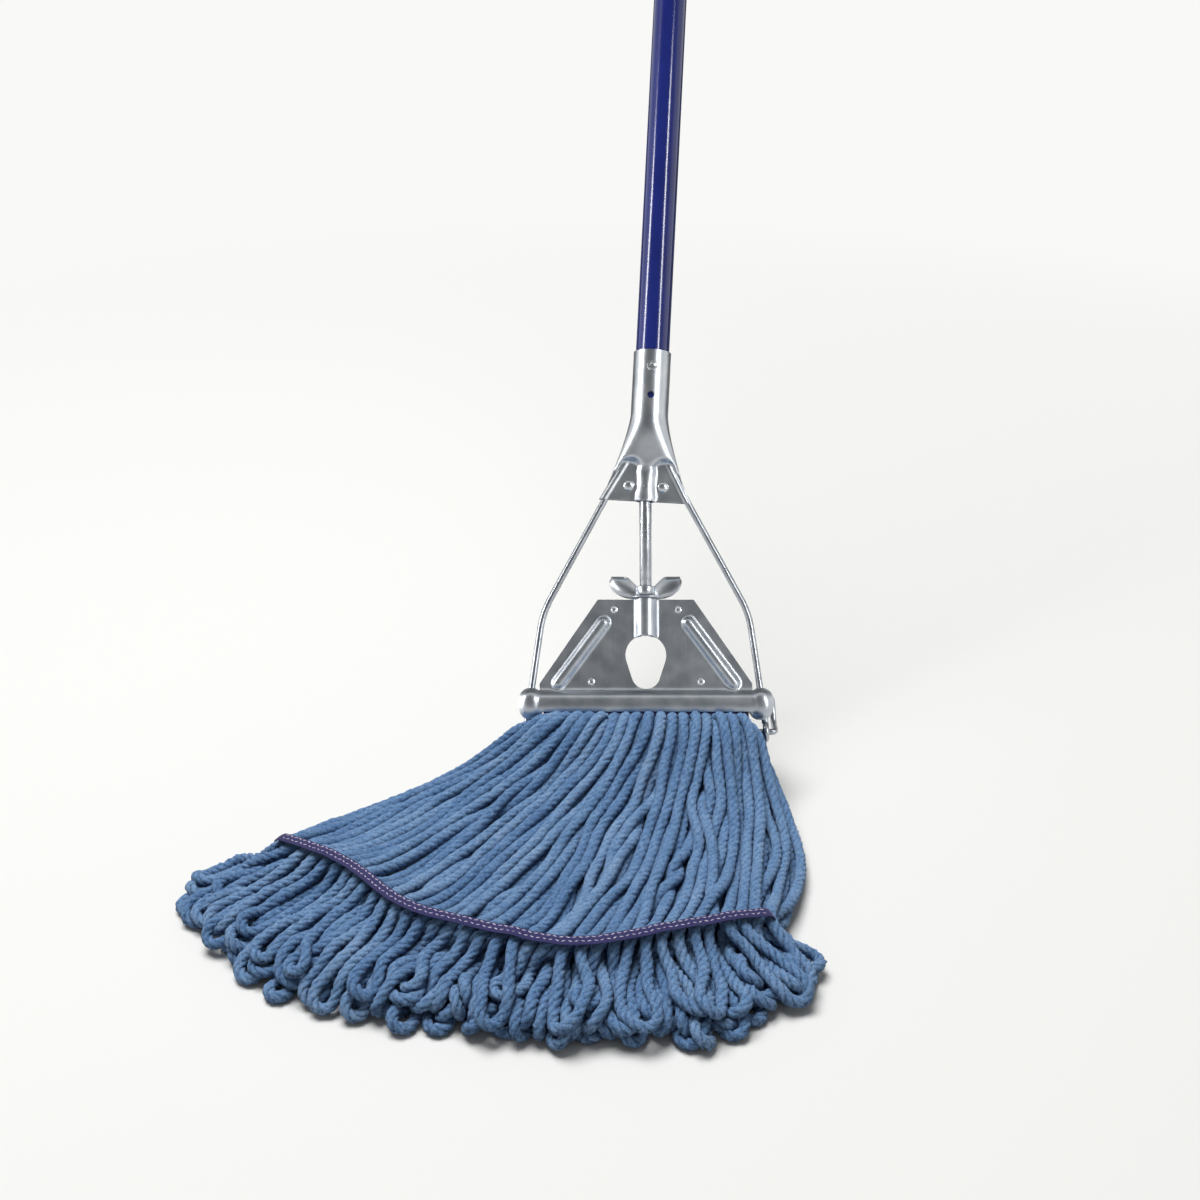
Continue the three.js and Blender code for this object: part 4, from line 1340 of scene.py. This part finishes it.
class MOP_OT_socket(bpy.types.Operator):
    """Make the rolled and pressed steel socket and its rivets"""

    bl_idname = "mop.socket"
    bl_label = "Socket"

    def execute(self, context):
        plate = zinc("zinc plated sheet steel", (60, 60, 900), 0.3, "CDD1D6", "B4BAC2", 0.0002)
        bm = bmesh.new()
        bmesh.ops.create_grid(bm, x_segments=144, y_segments=100, size=0.5)
        for vert in bm.verts:
            angle = (vert.co.x + 0.5) * math.tau
            z = mix(SOCKET_FOOT, SOCKET_TOP, vert.co.y + 0.5)
            c, s = math.cos(angle), math.sin(angle)
            x = math.copysign(abs(c) ** mix(1, PRESS_SQUARE, pressed(z)), c) * socket_half(z)
            y = math.copysign(socket_depth(x, z), s) if abs(s) > 1e-6 else 0
            vert.co = (x, y, z)
        bmesh.ops.remove_doubles(bm, verts=bm.verts, dist=0.01)
        smooth_depth(bm, [v for v in bm.verts if SOCKET_FOOT + 0.5 < v.co.z < 200], 0.4)
        turn_outwards(bm, lambda faces: max(faces, key=lambda f: f.calc_center_median().y))
        thicken(bm, SOCKET_WALL)
        turn_outwards(bm)
        cut(bm, crossways_pin(SIGHT_HOLE_RADIUS, 0, SIGHT_HOLE_HEIGHT, -20, 20))
        make_piece("pressed_socket", bm, HANDLE, ROOT, plate, ["socket"], 50)
        self.rivets()
        return {"FINISHED"}

    def rivets(self):
        bright = zinc(
            "zinc plated rivet steel", (700, 700, 700), 0.24, "D6D9DD", "BFC4CA", 0.0001
        )
        face = SOCKET_RADIUS - 0.2
        hollow = [
            (1.3, face - 3.0), (1.3, face + 0.7), (2.0, face + 1.3), (3.2, face + 1.0),
            (3.9, face),
        ]
        shape = [(0, face - 3.0)] + hollow + [(2.3, face - 0.4), (2.3, -face + 0.4)]
        shape += mirrored(hollow) + [(0, -face + 3.0)]
        made = turned_crossways(shape, 0, SOCKET_RIVET_HEIGHT, 40)
        make_piece("tubular_rivet", made, HANDLE, ROOT, bright, ["socket_rivet"])
        front = dome(4.35, 2.6, 2.6)
        for side, node in ((-1, "fan_rivet_left"), (1, "fan_rivet_right")):
            made = turned_crossways(
                mirrored(front) + front, side * FAN_RIVET_OFFSET, FAN_RIVET_HEIGHT, 40
            )
            make_piece(f"dome_{node}", made, HANDLE, ROOT, bright, [node])


# ---- the rod and the wires ----
class MOP_OT_rod(bpy.types.Operator):
    """Make the screw rod with its thread, and the pin that holds it"""

    bl_idname = "mop.rod"
    bl_label = "Rod"

    def execute(self, context):
        steel = zinc("zinc plated bright bar", (40, 40, 12), 0.26, "C2C6CB", "A8ADB5", 0.00004)
        core = ROD_RADIUS - THREAD_DEPTH
        rod = turned([
            (0, ROD_FOOT), (core - 0.8, ROD_FOOT), (core, ROD_FOOT + 0.8), (core, THREAD_TOP),
            (ROD_RADIUS, THREAD_TOP + 0.8), (ROD_RADIUS, ROD_TOP - 1), (ROD_RADIUS - 1, ROD_TOP),
            (0, ROD_TOP),
        ], 40)
        turns = (THREAD_TOP - ROD_FOOT - 2) / THREAD_PITCH
        angles = np.linspace(0, math.tau * turns, round(turns * 20))
        heights = ROD_FOOT + 1.5 + THREAD_PITCH * angles / math.tau
        helix = np.stack([core * np.cos(angles), core * np.sin(angles), heights], axis=1)
        join(rod, swept(helix, 0.16, 4))
        make_piece("screw_rod", rod, HEAD, ROOT, steel, ["rod"], 50)
        end = [(1.35, 6.2), (1.1, 6.5), (0, 6.5)]
        pin = turned_crossways(mirrored(end) + end, 0, FAN_RIVET_HEIGHT, 20)
        make_piece("channel_pin", pin, HEAD, ROOT, steel, ["rod_pin"])
        return {"FINISHED"}


class MOP_OT_bail(bpy.types.Operator):
    """Make the two bail legs and the gate wire"""

    bl_idname = "mop.bail"
    bl_label = "Bail"

    def execute(self, context):
        wire = zinc("zinc plated drawn wire", (40, 40, 12), 0.27, "B9BEC4", "9EA4AC", 0.00004)
        eye_z = GATE_Z + EYE_RADIUS
        for side, name, node, last in (
            (-1, "bail_left", "bail_leg_left", 400),  # an eye that closes round the gate wire
            (1, "bail_right", "bail_leg_right", 290),  # a hook
        ):
            leg = [(side * leg_x(z), 0, z) for z in (184, BEND_Z, eye_z)]
            line = list(bend_between(leg, 12, 10))
            for angle in np.arange(108, last, 18):
                a = math.radians(angle)
                drift = side * 5.0 * (angle - 90) / 310 if side < 0 else 0
                y, z = EYE_RADIUS * math.cos(a), GATE_Z + EYE_RADIUS * math.sin(a)
                line.append((side * leg_x(eye_z) - drift, y, z))
            line = even(curve_through(even(np.array(line), 90), 3), 200)
            bent = swept(line, WIRE_RADIUS)
            make_piece(name, bent, HEAD, ROOT, wire, [node], 60)
        reach, curl_z, curl_radius = 11.6, GATE_Z + 22, 3.2
        run = bend_between([
            (-89, 0, GATE_Z), (91, 0, GATE_Z), (91, reach, GATE_Z + 7), (90, reach, curl_z),
        ], 3, 6)
        curl = [
            (86.8 + curl_radius * math.cos(a), reach, curl_z + curl_radius * math.sin(a))
            for a in np.radians(np.arange(20, 300, 20))
        ]
        line = even(np.vstack([run, curl]), 260)
        gate = swept(line, GATE_RADIUS)
        make_piece("gate_bar", gate, HEAD, "gate", wire, ["gate_wire"], 60)
        return {"FINISHED"}


# ---- the jaw ----
PLATE_TOP = 79.5
PLATE_SHOULDER = 34  # half width at the top
PLATE_SIDE = 75  # and at the foot of the slanted sides
PLATE_SIDE_FOOT = 20
BAR_END = 80
BAR_TOP = 15
BAR_HALF_DEPTH = 7.6
BAR_ROLL_MIDDLE = 5.0
BAR_ROLL_HALF = 9.6
BOSS_X = 81.0
BOSS_RADIUS = 8.8
KNOB_MIDDLE = 5.75
KNOB_HALF_HEIGHT = 11.25
KNOB_POWER = 2.3
CHANNEL_RADIUS = 7.65
CHANNEL_FOOT = 53.0
RIB_FROM = Vector((30, 63))
RIB_TO = Vector((62, 20))


def to_segment(point, a, b):
    """Distance of a point from the segment a to b."""
    run = b - a
    share = min(1, max(0, (point - a).dot(run) / run.length_squared))
    return (point - a - run * share).length


def outside_box(x, z, half_x, low, high, rounding):
    """Signed distance to a rounded upright box about x = 0."""
    dx = abs(x) - half_x + rounding
    dz = abs(z - (low + high) / 2) - (high - low) / 2 + rounding
    return math.hypot(max(dx, 0), max(dz, 0)) + min(max(dx, dz), 0) - rounding


def knob(x, z):
    """Grows from 0 in the middle of a bar end's knob to 1 at its outline."""
    across = abs(x - BOSS_X) / BOSS_RADIUS
    upright = abs(z - KNOB_MIDDLE) / KNOB_HALF_HEIGHT
    return across**KNOB_POWER + upright**KNOB_POWER


def jaw_edge(x, z):
    """Signed distance to the outline of a jaw sheet, below zero inside it."""
    x = abs(x)
    run = Vector((PLATE_SIDE - PLATE_SHOULDER, PLATE_SIDE_FOOT - PLATE_TOP)).normalized()
    slant = (x - PLATE_SHOULDER) * -run.y + (z - PLATE_TOP) * run.x
    plate = max(slant, z - PLATE_TOP, x - PLATE_SIDE, 10 - z)
    bar = outside_box(x, z, BAR_END, 0, BAR_TOP, 0.5)
    boss = (knob(x, z) ** (1 / KNOB_POWER) - 1) * BOSS_RADIUS
    # the window is the outline drawn round two circles, one above the other
    lower, upper, foot, gap = 10.2, 14.4, 26.4, 13.7
    lean = (lower - upper) / gap
    rise = math.sqrt(1 - lean * lean)
    along = rise * (z - foot) - lean * x
    if along < 0:
        window = math.hypot(x, z - foot) - lower
    elif along > rise * gap:
        window = math.hypot(x, z - foot - gap) - upper
    else:
        window = rise * x + lean * (z - foot) - lower
    return max(min(plate, bar, boss), -window)


def jaw_height(x, z):
    """How far a jaw sheet's outside stands from the split, front or back."""
    flat = SHEET + HALF_SPLIT
    x = abs(x)
    height = flat
    if z < BAR_ROLL_MIDDLE + BAR_ROLL_HALF and x < BOSS_X:
        roll = math.sqrt(max(0, 1 - ((z - BAR_ROLL_MIDDLE) / BAR_ROLL_HALF) ** 2))
        height = mix(flat, BAR_HALF_DEPTH, roll)
    # the sheet sweeps out of the flat into the bar
    height = max(height, flat + 2.6 * smoothstep(20, 12, z) ** 2)
    inside = 1 - knob(x, z)
    if inside > 0:
        height = max(height, BOSS_RADIUS * inside ** (1 / KNOB_POWER))
    if z > CHANNEL_FOOT - 1:
        height = max(height, math.sqrt(max(0, CHANNEL_RADIUS**2 - x * x)))
    away = to_segment(Vector((x, z)), RIB_FROM, RIB_TO)
    rib = 3.3 * math.sqrt(max(0, 1 - (away / 4.6) ** 2)) * smoothstep(4.8, 3.4, away)
    return max(height, flat + rib)


def trim(bm, edge):
    """Deletes a flat grid's faces outside an outline and pulls the new border onto it."""
    outside = [f for f in bm.faces if edge(*f.calc_center_median().xz) > 0]
    bmesh.ops.delete(bm, geom=outside, context="FACES")
    small = 0.05
    for vert in [v for v in bm.verts if v.is_boundary]:
        for _ in range(3):
            x, z = vert.co.xz
            rise_x = edge(x + small, z) - edge(x - small, z)
            rise_z = edge(x, z + small) - edge(x, z - small)
            slope = Vector((rise_x, 0, rise_z))
            if slope.length > 1e-6:
                vert.co -= slope.normalized() * edge(x, z) * 0.9


class MOP_OT_jaw(bpy.types.Operator):
    """Make the two stamped jaw sheets and the eyelets that join them"""

    bl_idname = "mop.jaw"
    bl_label = "Jaw"

    def execute(self, context):
        steel = zinc("zinc plated rolled sheet", (900, 60, 60), 0.32, "C6CBD1", "A9B0B9", 0.0002)
        for side, name, node in (
            (-1, "jaw_front", "jaw_front_plate"), (1, "jaw_rear", "jaw_rear_plate"),
        ):
            make_piece(name, self.sheet(side), HEAD, "jaw", steel, [node], 42)
        self.eyelets()
        return {"FINISHED"}

    def sheet(self, side):
        """One pressed sheet, front at -1 and rear at 1: a flat grid cut to shape, then raised."""
        pitch = 1.15
        wide, high, foot = 92.0, 90.0, -8
        bm = bmesh.new()
        bmesh.ops.create_grid(
            bm, x_segments=round(2 * wide / pitch), y_segments=round(high / pitch), size=0.5
        )
        for vert in bm.verts:
            vert.co = (vert.co.x * 2 * wide, 0, mix(foot, high + foot, vert.co.y + 0.5))
        trim(bm, jaw_edge)
        for vert in bm.verts:
            vert.co.y = side * jaw_height(vert.co.x, vert.co.z)
        smooth_depth(bm, [v for v in bm.verts if not v.is_boundary], 0.45)
        turn_outwards(bm, lambda faces: max(faces, key=lambda f: abs(f.normal.y)), side)
        thicken(bm, SHEET)
        return bm

    def eyelets(self):
        bright = zinc(
            "zinc plated eyelet steel", (700, 700, 700), 0.26, "D0D4D9", "BDC2C9", 0.0001
        )
        face = SHEET + HALF_SPLIT
        ring = [
            (0.95, face - 0.6), (1.1, face + 0.5), (1.8, face + 0.85), (2.5, face + 0.55),
            (2.75, face),
        ]
        shape = [(0, face - 0.6)] + ring + [(2.0, face - 0.1), (2.0, 0.1 - face)]
        shape += mirrored(ring) + [(0, 0.6 - face)]
        for number, (x, z) in enumerate(EYELETS, 1):
            made = turned_crossways(shape, x, z, 28)
            node = f"jaw_eyelet_{number}"
            make_piece(f"eyelet_{number}", made, HEAD, "jaw", bright, [node])


class MOP_OT_nut(bpy.types.Operator):
    """Make the wing nut with its flange, sleeve and scooped wings"""

    bl_idname = "mop.nut"
    bl_label = "Wing nut"

    def execute(self, context):
        cast = zinc("zinc plated stamping", (500, 500, 500), 0.3, "CACED3", "AEB4BC", 0.0002)
        bore = ROD_RADIUS + 0.35
        sleeve = 6.0
        seat = NUT_SEAT
        profile = [(bore, 62), (sleeve, 62), (sleeve, seat)]
        profile += arc(11.2, seat + 0.7, 0.7, -90, 90, 5)
        profile += [(8.2, seat + 1.9), (7.2, seat + 3.2), (6.9, seat + 7.2)]
        profile += arc(6.3, seat + 8.0, 0.6, 0, 90, 3)
        profile += [(bore + 0.4, seat + 8.6), (bore, seat + 8.2), (bore, 62)]
        nut = turned(profile, 48)
        join(nut, self.wing(-1), self.wing(1))
        make_piece("butterfly_nut", nut, HEAD, "wing_nut", cast, ["wing_nut"], 45)
        return {"FINISHED"}

    def wing(self, side):
        """One leaf-shaped wing, scooped towards the front."""
        bm = bmesh.new()
        bmesh.ops.create_grid(bm, x_segments=20, y_segments=12, size=0.5)
        for vert in bm.verts:
            along = vert.co.x + 0.5
            across = vert.co.y * 2
            half = 5.6 * math.sin(math.pi * mix(0.14, 0.92, along**1.4)) ** 0.7
            x = mix(5.8, 24.5, along)
            # the top edge is cut level
            z = NUT_SEAT + min(3.0 + 11.5 * along**1.15 + across * half, 14.2)
            x -= across * half * 0.55
            scoop = 1.9 * (1 - across * across) * math.sin(math.pi * min(1, along * 1.05)) ** 0.5
            vert.co = (side * x, scoop - 0.6, z)
        turn_outwards(bm, lambda faces: faces[:][0], -1)
        thicken(bm, WING_THICKNESS)
        return bm


class MOP_PT_sidebar(bpy.types.Panel):
    """Lists the steps that build the mop"""

    bl_idname = "MOP_PT_sidebar"
    bl_label = "String Mop"
    bl_space_type = "VIEW_3D"
    bl_region_type = "UI"
    bl_category = "Mop"

    def draw(self, context):
        settings = context.scene.mop
        for name in (
            "yarn_diameter", "twist_pitch", "layers", "seed", "painted_shade_colour", "floor_colour",
        ):
            self.layout.prop(settings, name)
        for step in STEPS:
            self.layout.operator(step.bl_idname)


STEPS = (
    MOP_OT_stage, MOP_OT_yarn, MOP_OT_bands, MOP_OT_handle, MOP_OT_socket, MOP_OT_rod,
    MOP_OT_bail, MOP_OT_jaw, MOP_OT_nut,
)
CLASSES = (MopSettings, *STEPS, MOP_PT_sidebar)


def register():
    for item in CLASSES:
        bpy.utils.register_class(item)
    bpy.types.Scene.mop = PointerProperty(type=MopSettings)


def unregister():
    del bpy.types.Scene.mop
    for item in reversed(CLASSES):
        bpy.utils.unregister_class(item)


def main():
    register()
    bpy.ops.mop.stage()
    bpy.ops.mop.yarn()
    bpy.ops.mop.bands()
    bpy.ops.mop.handle()
    bpy.ops.mop.socket()
    bpy.ops.mop.rod()
    bpy.ops.mop.bail()
    bpy.ops.mop.jaw()
    bpy.ops.mop.nut()


if __name__ == "__main__":
    main()
